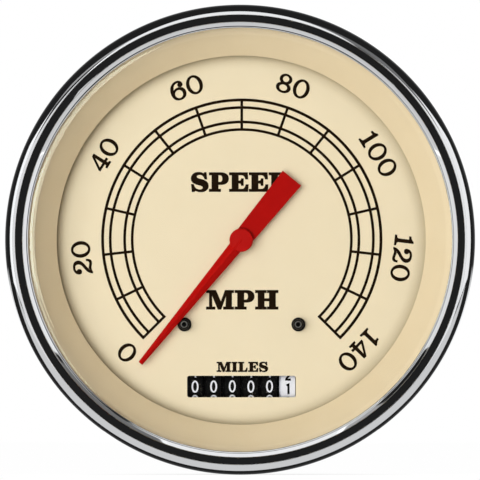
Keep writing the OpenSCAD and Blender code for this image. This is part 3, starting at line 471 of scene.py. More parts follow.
def drawn(start, *moves):
    """An outline of straight moves (x, y) and curved moves (two handles and an end)."""
    path = [start]
    for move in moves:
        if len(move) == 2:
            path.append(move)
            continue
        handles = (path[-1], move[0:2], move[2:4], move[4:6])
        for i in range(1, CURVE_STEPS + 1):
            q = i / CURVE_STEPS
            pull = ((1 - q) ** 3, 3 * q * (1 - q) ** 2, 3 * q * q * (1 - q), q ** 3)
            path.append(tuple(sum(w * handle[k] for w, handle in zip(pull, handles)) for k in (0, 1)))
    if closed(path):
        path.pop()
    return path


def stacked_rounds():
    """Outline of the figure eight: the wider of its two rounds at each height."""
    rounds = ((26.5, 39, 27.5), (74, 33, 27))
    middle, steps, half = 39, 48, []
    for i in range(steps + 1):
        y = -1 + 102 * (0.5 - 0.5 * math.cos(math.pi * i / steps))
        half.append((max(rx * math.sqrt(max(0.0, 1 - ((y - cy) / ry) ** 2)) for cy, rx, ry in rounds), y))
    return [(middle + w, y) for w, y in half] + [(middle - w, y) for w, y in reversed(half[1:-1])]


# The width of each letter or figure, and its outline with its holes
CURVE_STEPS = 8
GLYPHS = {
    "0": (86, [ellipse(43, 50, 43, 51, 48), ellipse(43, 50, 28, 42.5, 48)]),
    "1": (54, [drawn((0, 0), (54, 0), (54, 7), (42, 9, 35, 12, 35, 20), (35, 101), (28, 101),
                     (21, 91, 12, 87, 1, 86), (1, 78), (19, 79), (19, 20), (19, 12, 12, 9, 0, 7))]),
    "2": (78, [drawn((2, 70), (2, 90, 18, 101, 38, 101), (60, 101, 74, 91, 74, 73),
                     (74, 58, 62, 48, 46, 37), (34, 28, 24, 22, 20, 14), (28, 17, 34, 16, 42, 13),
                     (50, 10, 58, 9, 64, 12), (69, 15, 70, 20, 70, 26), (78, 26), (78, 10, 72, -1, 60, -1),
                     (48, -1, 38, 5, 26, 5), (18, 5, 12, 3, 8, -1), (0, -1), (2, 16, 12, 28, 28, 39),
                     (46, 50, 57, 58, 57, 74), (57, 87, 49, 93, 37, 93), (28, 93, 20, 90, 17, 83),
                     (24, 82, 27, 77, 27, 71), (27, 63, 21, 59, 14, 59), (7, 59, 2, 63, 2, 70))]),
    "4": (78, [drawn((0, 23), (0, 31), (45, 101), (60, 101), (60, 33), (77, 33), (77, 23), (60, 23),
                     (60, 10), (72, 7), (72, 0), (33, 0), (33, 7), (45, 10), (45, 23)),
               [(12, 33), (45, 33), (45, 84)]]),
    "6": (79, [drawn((74, 80), (74, 92, 63, 101, 48, 101), (18, 101, 0, 74, 0, 44), (0, 16, 16, -1, 40, -1),
                     (64, -1, 79, 13, 79, 33), (79, 53, 65, 65, 45, 65), (32, 65, 22, 60, 16, 51),
                     (17, 76, 29, 93, 48, 93), (54, 93, 58, 91, 60, 88), (53, 87, 49, 83, 49, 77),
                     (49, 71, 54, 67, 61, 67), (69, 67, 74, 72, 74, 80)), ellipse(40, 31, 24, 24.5)]),
    "8": (78, [stacked_rounds(), ellipse(39, 75, 19.5, 18.5), ellipse(39, 26, 24, 19)]),
    "S": (92, [drawn((80, 101), (84, 66), (73, 66), (69, 82, 59, 90, 45, 90), (35, 90, 29, 85, 29, 79),
                     (29, 72, 36, 69, 52, 65), (76, 59, 92, 50, 92, 30), (92, 11, 76, -2, 52, -2),
                     (40, -2, 31, 1, 24, 6), (17, -1), (6, -1), (2, 38), (13, 38), (18, 19, 29, 9, 46, 9),
                     (57, 9, 64, 14, 64, 21), (64, 28, 57, 31, 41, 35), (15, 41, 1, 50, 1, 69),
                     (1, 88, 16, 102, 40, 102), (52, 102, 60, 99, 67, 94), (72, 101))]),
    "P": (102, [drawn((0, 0), (60, 0), (60, 12), (47, 12), (47, 37), (62, 37), (86, 37, 102, 48, 102, 68),
                      (102, 89, 86, 100, 62, 100), (0, 100), (0, 88), (14, 88), (14, 12), (0, 12)),
                drawn((47, 49), (56, 49), (66, 49, 71, 56, 71, 68), (71, 81, 66, 88, 56, 88), (47, 88))]),
    "E": (100, [drawn((0, 0), (98, 0), (100, 36), (88, 36), (85, 20, 78, 12, 66, 12), (47, 12), (47, 44),
                      (54, 44), (60, 44, 63, 40, 64, 32), (74, 32), (74, 68), (64, 68),
                      (63, 60, 60, 56, 54, 56), (47, 56), (47, 88), (64, 88), (76, 88, 83, 80, 86, 66),
                      (98, 66), (96, 100), (0, 100), (0, 88), (14, 88), (14, 12), (0, 12))]),
    "D": (110, [drawn((0, 0), (56, 0), (90, 0, 110, 18, 110, 50), (110, 82, 90, 100, 56, 100), (0, 100),
                      (0, 88), (14, 88), (14, 12), (0, 12)),
                drawn((47, 12), (54, 12), (70, 12, 77, 24, 77, 50), (77, 76, 70, 88, 54, 88), (47, 88))]),
    "M": (145, [drawn((0, 0), (46, 0), (46, 12), (30, 12), (30, 72), (62, 0), (78, 0), (104, 68), (104, 12),
                      (91, 12), (91, 0), (145, 0), (145, 12), (134, 12), (134, 88), (145, 88), (145, 100),
                      (100, 100), (77, 40), (50, 100), (0, 100), (0, 88), (16, 88), (16, 12), (0, 12))]),
    "H": (120, [drawn((0, 0), (57, 0), (57, 12), (46, 12), (46, 44), (74, 44), (74, 12), (63, 12), (63, 0),
                      (120, 0), (120, 12), (106, 12), (106, 88), (120, 88), (120, 100), (63, 100), (63, 88),
                      (74, 88), (74, 56), (46, 56), (46, 88), (57, 88), (57, 100), (0, 100), (0, 88),
                      (14, 88), (14, 12), (0, 12))]),
    "I": (56, [drawn((0, 0), (56, 0), (56, 12), (45, 12), (45, 88), (56, 88), (56, 100), (0, 100), (0, 88),
                     (12, 88), (12, 12), (0, 12))]),
    "L": (96, [drawn((0, 0), (92, 0), (96, 40), (85, 40), (82, 22, 75, 12, 62, 12), (47, 12), (47, 88),
                     (60, 88), (60, 100), (0, 100), (0, 88), (14, 88), (14, 12), (0, 12))]),
}
INK_LOW, INK_HIGH = DIAL_Z - 0.01, DIAL_Z + 0.03
# The print lies a little off the dial's axis
PRINT_X, PRINT_Y = 0.08, 0.3


def bolder(loop, by):
    """A loop moved outwards by the spread of the ink, or inwards where it is a hole."""
    grown_loop = []
    for i, here in enumerate(loop):
        before, after = Vector(loop[i - 1]), Vector(loop[(i + 1) % len(loop)])
        back, on = (Vector(here) - before).normalized(), (after - Vector(here)).normalized()
        out = Vector((back.y + on.y, -back.x - on.x))
        out *= by / max(0.5 * out.length_squared, 0.6)
        grown_loop.append((here[0] + out.x, here[1] + out.y))
    return grown_loop


def spread(loops, by):
    """The outline of a letter grown by the spread of the ink, and its holes made smaller."""
    heavier = []
    for i, loop in enumerate(loops):
        area = sum(a[0] * b[1] - b[0] * a[1] for a, b in zip(loop, loop[1:] + loop[:1]))
        heavier.append(bolder(loop, math.copysign(by, area) * (-1 if i else 1)))
    return heavier


def word(text, cap, x, y, gap, weight, turn=0.0):
    """The letters of a word in a row, centred on a point of the dial and turned clockwise."""
    width = sum(GLYPHS[c][0] for c in text) + gap * (len(text) - 1)
    c, s, shapes, along = math.cos(turn), math.sin(turn), [], -width / 2

    def settle(u, v, z):
        u, v = (u + along) * cap / 100, (v - 50) * cap / 100
        return spot(x + u * c + v * s, y - u * s + v * c, z)

    for letter in text:
        shapes.append(slab(spread(GLYPHS[letter][1], weight), INK_LOW, INK_HIGH, settle))
        along += GLYPHS[letter][0] + gap
    return shapes


def band(radius, width):
    """A line of the scale: an arc across the top of the dial, nearly to the far side of its end ticks."""
    half = SCALE_HALF + LINE_END / radius
    start, end = QUARTER - half, QUARTER + half
    outer = arc(0, 0, radius + width / 2, start, end, 160)
    inner = arc(0, 0, radius - width / 2, end, start, 160)
    return slab([outer + inner], INK_LOW, INK_HIGH, lambda u, v, z: spot(u + PRINT_X, v + PRINT_Y, z))


# The scale's lines by radius and width, and its numbers, each with the degrees that it stands off its mark
SCALE_HALF, SCALE_TOP, LINE_END, NUMBER_R, NUMBER_CAP = math.radians(135), 140, 0.33, 42.68, 4.85
SCALE_LINES = ((29.01, 0.72), (31.01, 0.73), (34.82, 0.73), (36.84, 0.77))
NUMBERS = {0: 0.35, 20: -0.2, 40: -0.45, 60: -0.78, 80: -0.64, 100: 0.44, 120: 0.45, 140: -1.15}
ink = [band(radius, width) for radius, width in SCALE_LINES]
for mark, nudge in NUMBERS.items():
    lean = SCALE_HALF * (2 * mark / SCALE_TOP - 1) + math.radians(nudge)
    across, up = PRINT_X + NUMBER_R * math.sin(lean), PRINT_Y + NUMBER_R * math.cos(lean)
    ink += word(str(mark), NUMBER_CAP, across, up, gap=14, weight=2.5, turn=lean)
ink += word("SPEED", 4.98, -0.3, 15.4, gap=5, weight=2.0)
ink += word("MPH", 4.98, 0.2, -15.75, gap=7, weight=2.0)
ink += word("MILES", 2.56, 0.25, -33.5, gap=10, weight=2.5)
piece("dial_ink", ink, "stop_black", skin="print_ink")


# Rows that repeat, grown by node trees
def grow_tree(name, sizes):
    """A node tree with named inputs for its sizes, and what ends it in a plain mesh with its finish."""
    group = bpy.data.node_groups.new(name, "GeometryNodeTree")
    for label, kind in sizes.items():
        group.interface.new_socket(label, in_out="INPUT", socket_type="NodeSocket" + kind)
    group.interface.new_socket("Geometry", in_out="OUTPUT", socket_type="NodeSocketGeometry")
    wires = Wiring(group)
    size = wires.add("NodeGroupInput").outputs

    def close(geometry):
        whole = wires.add("GeometryNodeRealizeInstances", {"Geometry": geometry}).outputs[0]
        dressed = wires.add("GeometryNodeSetMaterial", {"Geometry": whole, "Material": size["Finish"]})
        wires.add("NodeGroupOutput", {0: dressed.outputs[0]})
        return group

    return wires, size, close


def grown(name, group, sizes, slot, place, skin=None):
    """The plain mesh of a node tree with these sizes, set in its place on the gauge."""
    made = bpy.data.objects.new(name, bpy.data.meshes.new(name))
    bpy.context.scene.collection.objects.link(made)
    grow = made.modifiers.new("grow", "NODES")
    grow.node_group = group
    for item in group.interface.items_tree:
        if item.in_out == "INPUT":
            grow[item.identifier] = FINISHES[skin or slot] if item.name == "Finish" else sizes[item.name]
    mesh = bpy.data.meshes.new_from_object(made.evaluated_get(bpy.context.evaluated_depsgraph_get()))
    made.modifiers.remove(grow)
    made.data = mesh
    mesh.transform(Matrix.Translation(place))
    cleaned(mesh, CREASE)
    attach(made, "gauge")


def tick_tree():
    """Bars that stand out from a centre, evenly spread over a sweep."""
    wires, size, close = grow_tree("scale_ticks", {
        "Count": "Int", "Inner radius": "Float", "Outer radius": "Float", "Line width": "Float",
        "Ink height": "Float", "First angle": "Float", "Sweep": "Float", "Finish": "Material"})
    add, maths = wires.add, wires.maths
    long = maths("SUBTRACT", size["Outer radius"], size["Inner radius"])
    middle = maths("MULTIPLY", maths("ADD", size["Outer radius"], size["Inner radius"]), 0.5)
    bar_size = add("ShaderNodeCombineXYZ", {0: size["Line width"], 1: size["Ink height"], 2: long})
    bar = add("GeometryNodeMeshCube", {"Size": bar_size.outputs[0]}).outputs["Mesh"]
    out = add("ShaderNodeCombineXYZ", {2: middle}).outputs[0]
    set_out = add("GeometryNodeTransform", {"Geometry": bar, "Translation": out}).outputs[0]
    seeds = add("GeometryNodePoints", {"Count": size["Count"]}).outputs[0]
    step = maths("DIVIDE", size["Sweep"], maths("SUBTRACT", size["Count"], 1.0))
    index = add("GeometryNodeInputIndex").outputs[0]
    angle = maths("ADD", size["First angle"], maths("MULTIPLY", index, step))
    lean = add("ShaderNodeCombineXYZ", {1: angle})
    row = add("GeometryNodeInstanceOnPoints", {"Points": seeds, "Instance": set_out}).outputs[0]
    turn = add("GeometryNodeRotateInstances", {"Instances": row, "Rotation": lean.outputs[0]})
    return close(turn.outputs[0])


def thread_tree():
    """A sheet wound round an axis, with a thread's ridge that runs out at both ends."""
    wires, size, close = grow_tree("screw_thread", {
        "Length": "Float", "Pitch": "Float", "Radius": "Float", "Depth": "Float", "Rows": "Int",
        "Columns": "Int", "Finish": "Material"})
    add, maths = wires.add, wires.maths
    sheet = add("GeometryNodeMeshGrid", {
        "Size X": 1.0, "Size Y": 1.0, "Vertices X": size["Rows"], "Vertices Y": size["Columns"]})
    here = add("ShaderNodeSeparateXYZ", {0: add("GeometryNodeInputPosition").outputs[0]}).outputs
    along, around = maths("ADD", here[0], 0.5), maths("ADD", here[1], 0.5)
    reach = maths("MULTIPLY", along, size["Length"])
    turns = maths("DIVIDE", reach, size["Pitch"])
    rest = maths("MULTIPLY", maths("SUBTRACT", 1.0, along), size["Length"])
    left = maths("DIVIDE", rest, size["Pitch"])
    wave = maths("MULTIPLY", maths("PINGPONG", maths("SUBTRACT", turns, around), 0.5), 2.0)
    fade = maths("MINIMUM", maths("MINIMUM", turns, left), 1.0)
    dip = maths("MULTIPLY", size["Depth"], maths("SUBTRACT", 1.0, maths("MULTIPLY", wave, fade)))
    radius = maths("SUBTRACT", size["Radius"], dip)
    angle = maths("MULTIPLY", around, math.tau)
    across, up = (maths("MULTIPLY", radius, maths(wave_of, angle)) for wave_of in ("COSINE", "SINE"))
    place = add("ShaderNodeCombineXYZ", {0: across, 1: reach, 2: up}).outputs[0]
    wound = add("GeometryNodeSetPosition", {"Geometry": sheet.outputs["Mesh"], "Position": place})
    return close(wound.outputs[0])


TICKS, TICK_W, TICK_T, TICK_FROM_R, TICK_TO_R = 15, 0.71, 0.024, 28.65, 37.2
grown("scale_ticks", tick_tree(), {
    "Count": TICKS, "Inner radius": TICK_FROM_R * MM, "Outer radius": TICK_TO_R * MM,
    "Line width": TICK_W * MM, "Ink height": TICK_T * MM, "First angle": -SCALE_HALF,
    "Sweep": 2 * SCALE_HALF},
    "stop_black", spot(PRINT_X, PRINT_Y, DIAL_Z + TICK_T / 2), "print_ink")


# Stop posts
def stop_profile():
    shank = [(0, STOP_BACK), (STOP_SHANK_R, STOP_BACK), (STOP_SHANK_R, DIAL_Z), (STOP_FOOT_R, DIAL_Z)]
    foot = arc(STOP_FOOT_R - 0.3, DIAL_Z + 0.5, 0.3, 0, QUARTER, 5)
    post, top = STOP_POST_R, STOP_TOP
    neck = [(post + 0.12, DIAL_Z + 0.8), (post, DIAL_Z + 0.95)]
    shoulder = bend((post, top - 0.45), (post, top - 0.18), (post - 0.24, top - 0.13), 6)
    tip = bend((0.72, top - 0.02), (0.64, top), (0.58, top - 0.03), 3)
    dimple = [(STOP_DIMPLE_R, top - 0.2), (STOP_DIMPLE_R, top - 1.2), (0, top - 1.2)]
    return shank + foot + neck + shoulder + tip + dimple


# The grey ring on a stop post's top, which is a painted highlight
def worn_rim_profile():
    corners = ((0.6, -0.06), (0.6, -0.025), (0.66, 0.005), (0.86, -0.035), (0.92, -0.08), (0.8, -0.12))
    return [(r, STOP_TOP + z) for r, z in corners]


STOP_PLACES = (-STOP_X, STOP_X)
piece("stop_posts", [turned(stop_profile(), x, STOP_Y, 64) for x in STOP_PLACES], "stop_black",
      stands_for=["zero_stop", "full_scale_stop"])
# Grey rings on the posts' tops: painted highlights
piece("stop_rim_highlights", [turned(worn_rim_profile(), x, STOP_Y, 48) for x in STOP_PLACES], "stop_black",
      skin="rim_highlight_grey")


# Pointer
def along_needle(u, v, z):
    """A place on the pointer at rest: u towards the tip, v across, z above the back of the needle."""
    c, s = math.cos(REST), math.sin(REST)
    return spot(u * c - v * s, u * s + v * c, NEEDLE_Z + z)


def lofted(sections):
    """A closed skin over sections that have the same number of points."""
    n, last = len(sections[0]), len(sections) - 1
    points = [along_needle(*p) for section in sections for p in section]
    faces = [[i * n + j, i * n + (j + 1) % n, (i + 1) * n + (j + 1) % n, (i + 1) * n + j]
             for i in range(last) for j in range(n)]
    return points, faces + [list(range(n)), [last * n + j for j in reversed(range(n))]]


def needle_section(u, half_w, edge, ridge):
    """A section across the needle, with its edges and its ridge broken."""
    rising = [(u, -half_w, 0), (u, -half_w, edge - 0.08), (u, 0.07 - half_w, edge), (u, -0.05, ridge - 0.02)]
    return rising + [(u, 0, ridge)] + [(u, -v, z) for _, v, z in reversed(rising)]


def blade(outline, levels):
    """A flat blade over an outline, with the edge drawn in towards the tail's middle at each level."""
    sections = []
    for shrink, z in levels:
        inward = [(TAIL_MIDDLE - Vector(p)).normalized() * shrink for p in outline]
        sections.append([(u + by.x, v + by.y, z) for (u, v), by in zip(outline, inward)])
    return lofted(sections)


# The needle's sections: how far out, half the width, and the heights of edge and ridge
NEEDLE = ((0.0, 1.88, 0.45, 1.5), (42.0, 0.65, 0.45, 0.7), (42.1, 0.59, 0.38, 0.6))
needle = lofted([needle_section(*row) for row in NEEDLE])
hub_top = NEEDLE_Z + HUB_T
hub = ([(0, NEEDLE_Z), (HUB_R, NEEDLE_Z)]
       + arc(HUB_R - HUB_ROUND, hub_top - HUB_ROUND, HUB_ROUND, 0, QUARTER, 8) + [(0, hub_top)])
piece("ridged_needle", [needle, turned(hub, steps=96)], "pointer_red", "pointer", ["pointer_needle"], 22)

# The tail passes under the hub, which sits in a shallow round recess with a fine gap.
# The turns are where the tail's edge meets the round under the hub, and the recess.
TAIL_MIDDLE, TAIL_BREAK = Vector((-9.0, 0.0)), 0.07
UNDER_R, UNDER_TURN, RECESS_R, RECESS_X, RECESS_DEEP = 2.7, 1.906, 3.4, -2.2, 0.4
recess_turn = math.acos(RECESS_X / RECESS_R)
tail_end = [(-TAIL_LEN, TAIL_HALF_W), (-TAIL_LEN, -TAIL_HALF_W)]
under_hub = arc(0, 0, UNDER_R, -UNDER_TURN, UNDER_TURN, 24) + tail_end
behind_hub = arc(0, 0, RECESS_R, math.tau - recess_turn, recess_turn, 16) + tail_end
piece("tail_blade", [blade(under_hub, ((0, -TAIL_T), (0, -RECESS_DEEP))),
                     blade(behind_hub, ((0, -RECESS_DEEP), (0, -TAIL_BREAK), (TAIL_BREAK, 0)))],
      "tail_red", "pointer", ["pointer_tail"], 22)


# Numbers on the odometer drums, drawn in a square of one, with points on the way
# where a line bends round the drum
SIX = drawn((0.92, 0.84), (0.85, 0.95, 0.7, 1.0, 0.52, 1.0), (0.2, 1.0, 0.0, 0.75, 0.0, 0.4),
            (0.0, 0.12, 0.2, 0.0, 0.5, 0.0), (0.82, 0.0, 1.0, 0.13, 1.0, 0.32),
            (1.0, 0.5, 0.82, 0.62, 0.52, 0.62), (0.25, 0.62, 0.05, 0.5, 0.0, 0.36))
FIGURES = [
    [ellipse(0.5, 0.5, 0.5, 0.5, 28) + [(1.0, 0.5)]],
    [[(0.22, 0.8), (0.4, 0.88), (0.56, 1.0), (0.56, 0.75), (0.56, 0.5), (0.56, 0.25), (0.56, 0.0)]],
    [drawn((0.0, 0.74), (0.02, 0.92, 0.2, 1.0, 0.5, 1.0), (0.8, 1.0, 1.0, 0.9, 1.0, 0.72),
           (1.0, 0.5, 0.5, 0.35, 0.0, 0.0), (0.5, 0.0), (1.0, 0.0))],
    [drawn((0.0, 0.8), (0.1, 0.95, 0.3, 1.0, 0.5, 1.0), (0.8, 1.0, 0.95, 0.9, 0.95, 0.76),
           (0.95, 0.6, 0.8, 0.54, 0.45, 0.54), (0.8, 0.54, 1.0, 0.45, 1.0, 0.28),
           (1.0, 0.1, 0.8, 0.0, 0.5, 0.0), (0.25, 0.0, 0.05, 0.08, 0.0, 0.22))],
    [[(0.72, 0.0), (0.72, 0.25), (0.72, 0.5), (0.72, 0.75), (0.72, 1.0), (0.48, 0.75), (0.24, 0.5),
      (0.0, 0.26), (0.35, 0.26), (0.7, 0.26), (1.0, 0.26)]],
    [drawn((0.92, 1.0), (0.5, 1.0), (0.1, 1.0), (0.07, 0.8), (0.04, 0.55),
           (0.2, 0.64, 0.35, 0.66, 0.5, 0.66), (0.85, 0.66, 1.0, 0.5, 1.0, 0.33),
           (1.0, 0.12, 0.8, 0.0, 0.5, 0.0), (0.25, 0.0, 0.05, 0.08, 0.0, 0.2))],
    [SIX],
    [[(0.0, 1.0), (0.35, 1.0), (0.7, 1.0), (1.0, 1.0), (0.82, 0.75), (0.62, 0.5), (0.45, 0.25),
      (0.35, 0.0)]],
    [ellipse(0.5, 0.77, 0.42, 0.23, 24) + [(0.92, 0.77)], ellipse(0.5, 0.27, 0.5, 0.27, 24) + [(1.0, 0.27)]],
    [[(1 - x, 1 - y) for x, y in SIX]],
]
FIGURE_W, FIGURE_H, FIGURE_STEP = 1.42, 2.84, math.radians(36)
PAINT_TOP, PAINT_ROOT = 0.025, -0.02


def stroke(path, width, where):
    """A pen line of even width along a path, as a thin closed ribbon."""
    n, points, faces = len(path), [], []
    for i, (u, v) in enumerate(path):
        before, after = Vector(path[max(i - 1, 0)]), Vector(path[min(i + 1, n - 1)])
        if closed(path) and i in (0, n - 1):
            before, after = Vector(path[-2]), Vector(path[1])
        way = (after - before).normalized()
        off = Vector((-way.y, way.x)) * width / 2
        for h in (PAINT_TOP, PAINT_ROOT):
            points += [where(u + off.x, v + off.y, h), where(u - off.x, v - off.y, h)]
    for i in range(n - 1):
        a, b = 4 * i, 4 * i + 4
        faces += [[a, a + 1, b + 1, b], [a + 2, b + 2, b + 3, a + 3], [a, b, b + 2, a + 2],
                  [a + 1, a + 3, b + 3, b + 1]]
    if not closed(path):
        last = 4 * (n - 1)
        faces += [[0, 2, 3, 1], [last, last + 1, last + 3, last + 2]]
    return points, faces


def drum_numbers(body, place, slot, lead, width):
    """Ten figures round a drum, rising upwards, with the nought turned by lead."""
    middle, shapes = ((len(DRUMS) - 1) / 2 - place) * DRUM_PITCH, []
    for figure, paths in enumerate(FIGURES):
        base = FIGURE_STEP * figure + lead

        def wrap(u, v, h):
            a = base + v / DRUM_R
            return spot(middle + u, AXLE_Y + (DRUM_R + h) * math.sin(a), AXLE_Z + (DRUM_R + h) * math.cos(a))

        for path in paths:
            sized = [((u - 0.5) * FIGURE_W, (v - 0.5) * FIGURE_H) for u, v in path]
            shapes.append(stroke(sized, width, wrap))
    piece("numbers_" + body, shapes, slot, body)


# The drums from the right, with the degrees that a nought stands off the middle of the window.
# The tenths are black on white, in a broader pen.
DRUMS = {"tenths": -41.8, "units": 0.3, "tens": -0.2, "hundreds": 0.6, "thousands": 0.0,
         "ten_thousands": -0.2}
for place, (body, lead) in enumerate(DRUMS.items()):
    slot, pen = ("drum_white", 0.43) if place else ("drum_black", 0.58)
    drum_numbers(body, place, slot, math.radians(lead), pen)


# Fittings behind the case
def hexagon_shape():
    """The fitting's hexagon with its corners turned off at the back."""
    points, faces, steps = [], [], 96
    for i in range(steps):
        a = math.tau * i / steps
        far = HEX_HALF / math.cos((a % (math.pi / 3)) - math.pi / 6)
        flat = min(far, HEX_HALF + 0.25)
        corner_z = HEX_Z + (far - flat) * 0.58
        section = ((HEX_BORE_R, HEX_Z), (flat, HEX_Z), (far, corner_z), (far, BACK_Z - 0.1),
                   (far - 0.1, BACK_Z), (HEX_BORE_R, BACK_Z))
        points += [spot(r * math.cos(a), r * math.sin(a), z) for r, z in section]
    n = len(section)
    for i in range(steps):
        a, b = i * n, (i + 1) % steps * n
        faces += [[a + j, b + j, b + (j + 1) % n, a + (j + 1) % n] for j in range(n)]
    return points, faces


def sleeve_profile():
    """The fitting's sleeve: back along the core of its thread, and in through the cable's seat."""
    front, core, seat_end = front_of("cable_ferrule"), FITTING_CORE_R, SEAT_Z + 1
    neck = [(core - 0.2, front), (core - 0.2, HEX_Z - 0.1), (core, HEX_Z - 0.3)]
    end = [(core, END_Z + 0.5), (core - 0.4, END_Z), (TIP_SEAT_R + 0.3, END_Z), (TIP_SEAT_R, END_Z + 0.3)]
    seat = [(TIP_SEAT_R, SEAT_Z), (SHAFT_BORE_R, SEAT_Z), (SHAFT_BORE_R, seat_end)]
    return neck + end + seat + [(BUSH_BORE_R, seat_end), (BUSH_BORE_R, front)]


def stud_profile():
    """A stud: the core of its thread, the shank through the case, and the head inside."""
    core, head_back, front = STUD_CORE_R, BACK_Z + 0.8, front_of("mounting_studs")
    tip = [(0, STUD_END), (core - 0.45, STUD_END), (core, STUD_END + 0.5), (core, BACK_Z - 0.8)]
    shank = [(STUD_R, BACK_Z - 0.6), (STUD_ROOT_R, BACK_Z), (STUD_ROOT_R, head_back)]
    return tip + shank + [(STUD_HEAD_R, head_back), (STUD_HEAD_R, front), (0, front)]


piece("cable_fitting", [turned(sleeve_profile(), steps=128), hexagon_shape()], "plated_fittings",
      stands_for=["cable_ferrule"], crease=25)
piece("stud_cores", [turned(stud_profile(), x, 0, 64) for x in (-STUD_X, STUD_X)], "plated_fittings",
      stands_for=["mounting_studs"])

# Threads: radius, pitch, depth, and the heights that they run between
CABLE_THREAD = (FITTING_R, 1.41, 0.74, END_Z + 0.4, HEX_Z - 0.2)
STUD_THREAD = (STUD_R, 0.8, 0.34, STUD_END + 0.4, BACK_Z - 0.7)
ROWS_IN_PITCH, THREAD_COLUMNS = 10, 49
threads = thread_tree()
for name, x, (radius, pitch, depth, low, high) in (
        ("cable_thread", 0, CABLE_THREAD),
        ("stud_thread_left", -STUD_X, STUD_THREAD),
        ("stud_thread_right", STUD_X, STUD_THREAD)):
    grown(name, threads, {
        "Length": (high - low) * MM, "Pitch": pitch * MM, "Radius": radius * MM, "Depth": depth * MM,
        "Rows": round((high - low) / pitch * ROWS_IN_PITCH) + 1, "Columns": THREAD_COLUMNS},
        "plated_fittings", spot(x, 0, high))


# Light, floor and surroundings
def lamp_panel(name, out, turn, wide, tall, glow, card=True, shape="RECTANGLE", tint=(1, 1, 1),
               shows_in=None):
    """A panel a metre away that faces the gauge, so many degrees out from its axis and round it.

    A card lights nothing: only what mirrors shows it, or only the piece that it shows in.
    """
    light = bpy.data.lights.new(name, "AREA")
    light.shape, light.size, light.size_y = shape, wide, tall
    light.color = tint
    light.energy = glow * math.pi * wide * tall * (math.pi / 4 if shape == "ELLIPSE" else 1)
    made = bpy.data.objects.new(name, light)
    out, turn = math.radians(out), math.radians(turn)
    made.location = (math.sin(out) * math.cos(turn), -math.cos(out), math.sin(out) * math.sin(turn))
    made.rotation_euler = (-made.location).to_track_quat("-Z", "Y").to_euler()
    made.visible_diffuse, made.visible_glossy = not card, card
    bpy.context.scene.collection.objects.link(made)
    if shows_in:
        shown = bpy.data.collections.new(name + "_shows_in")
        shown.objects.link(shows_in)
        made.light_linking.receiver_collection = shown


# One panel lights the gauge, and the cards are what its chrome and its glass show
GREENISH = (0.95, 1, 0.8)
lamp_panel("key_panel", out=24, turn=180, wide=1.0, tall=1.0, glow=4.5, card=False)
lamp_panel("glass_edge_card", out=23, turn=160, wide=0.46, tall=0.4, glow=6.5, tint=GREENISH, shows_in=glass)
lamp_panel("glass_rim_card", out=28, turn=189, wide=0.36, tall=0.45, glow=6.5, tint=GREENISH, shows_in=glass)
lamp_panel("left_card", out=18, turn=174.5, wide=0.37, tall=0.38, glow=0.82)
lamp_panel("left_far_card", out=38.5, turn=170.8, wide=0.32, tall=0.46, glow=1.1)
lamp_panel("right_card", out=15.5, turn=7.6, wide=0.27, tall=0.39, glow=0.9)
lamp_panel("right_far_card", out=37, turn=12, wide=0.46, tall=0.51, glow=0.95)
lamp_panel("low_card", out=32.5, turn=270, wide=1.9, tall=0.85, glow=0.66)
lamp_panel("top_card", out=20, turn=98.5, wide=0.36, tall=0.48, glow=0.95, shape="ELLIPSE")
lamp_panel("top_left_strip", out=31, turn=133, wide=0.3, tall=0.12, glow=0.4)
lamp_panel("top_right_strip", out=26, turn=57, wide=0.26, tall=0.26, glow=0.16)


def mirror_rays(wires):
    """The kinds of ray, and whether a ray comes from a mirror or through glass."""
    rays = wires.add("ShaderNodeLightPath").outputs
    return rays, wires.maths("MAXIMUM", rays["Is Glossy Ray"], rays["Is Transmission Ray"])


def floor_finish():
    """Pale and matt, and seen as white but for the shade under the gauge. Mirrors lose its ends."""
    made, matt, wires = blank("pale_floor")
    matt.inputs["Base Color"].default_value = (0.92, 0.92, 0.92, 1)
    matt.inputs["Roughness"].default_value = 0.9
    where = on_piece(wires)
    shade_at = {"Vector": where, "Location": (0, -0.048, 0), "Scale": (0.8, 1, 0)}
    under = wires.add("ShaderNodeMapping", shade_at).outputs["Vector"]
    far = wires.add("ShaderNodeVectorMath", {0: under}, operation="LENGTH").outputs["Value"]
    rays, mirrored = mirror_rays(wires)
    seen = wires.maths("MAXIMUM", mirrored, rays["Is Camera Ray"])
    white = wires.maths("MULTIPLY", seen, wires.ranged(far, (0.008, 0.036), (0.55, 0.985)))
    pale = wires.both(white, matt.outputs["BSDF"], wires.add("ShaderNodeEmission").outputs["Emission"])
    aside = wires.maths("ABSOLUTE", wires.add("ShaderNodeSeparateXYZ", {0: where}).outputs["X"])
    gone = wires.maths("MULTIPLY", wires.ranged(aside, (0.2, 0.6), (0.0, 1.0)), rays["Is Glossy Ray"])
    show(made, wires, wires.both(gone, pale, wires.add("ShaderNodeBsdfTransparent").outputs["BSDF"]))
    return made


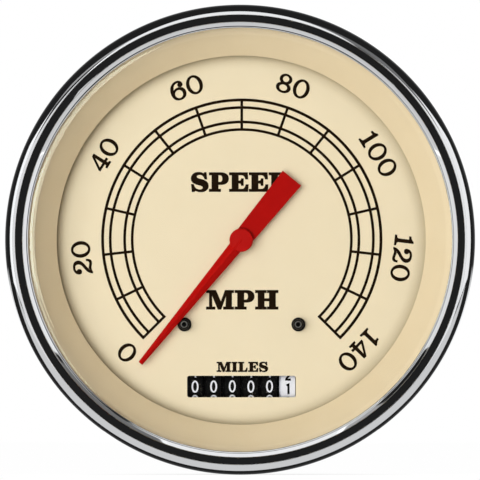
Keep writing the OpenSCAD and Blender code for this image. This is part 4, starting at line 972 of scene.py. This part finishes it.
# Floor, in metres, behind the bezel, with a tongue that takes the shade under the case
FLOOR_HALF, FLOOR_FRONT, FLOOR_Z = 3.0, 0.06, -(BEZEL_R + 0.1) * MM
TONGUE_HALF, TONGUE_FRONT = 0.045, 0.012
front_right = [(TONGUE_HALF, TONGUE_FRONT), (TONGUE_HALF, FLOOR_FRONT), (FLOOR_HALF, FLOOR_FRONT)]
floor_corners = [(-x, y) for x, y in reversed(front_right)] + front_right
floor_corners += [(FLOOR_HALF, FLOOR_HALF), (-FLOOR_HALF, FLOOR_HALF)]
floor_mesh = bpy.data.meshes.new("floor")
floor_mesh.from_pydata([(x, y, FLOOR_Z) for x, y in floor_corners], [], [range(len(floor_corners))])
floor_mesh.materials.append(floor_finish())
floor = bpy.data.objects.new("floor", floor_mesh)
bpy.context.scene.collection.objects.link(floor)


def surroundings():
    """White behind the gauge, a dark room on the driver's side for the chrome, and even light on paint."""
    world = bpy.data.worlds.new("surroundings")
    world.use_nodes = True
    bpy.context.scene.world = world
    wires, glow = Wiring(world.node_tree), world.node_tree.nodes["Background"]
    way = wires.add("ShaderNodeTexCoord").outputs["Generated"]
    backwards = wires.add("ShaderNodeSeparateXYZ", {0: way}).outputs["Y"]
    room = wires.add("ShaderNodeValToRGB", {"Fac": backwards})
    stops = room.color_ramp.elements
    stops[1].position = ROOM_LEVELS[-1][0]
    for at, _ in ROOM_LEVELS[1:-1]:
        stops.new(at)
    for stop, (_, level) in zip(stops, ROOM_LEVELS):
        stop.color = (level, level, level, 1)
    day = wires.ranged(backwards, (-0.25, 0.3), (0.16, 0.85))
    rays, mirrored = mirror_rays(wires)
    soft = wires.mixed(mirrored, day, room.outputs["Color"], "FLOAT")
    wires.feed(glow.inputs["Strength"], wires.mixed(rays["Is Camera Ray"], soft, 1.0, "FLOAT"))
    glow.inputs["Color"].default_value = (1, 1, 1, 1)


# What mirrors show of the room, from the side of the gauge to behind it
ROOM_LEVELS = ((0.0, 0.016), (0.5, 0.05), (0.85, 0.12), (0.985, 1.0))
surroundings()
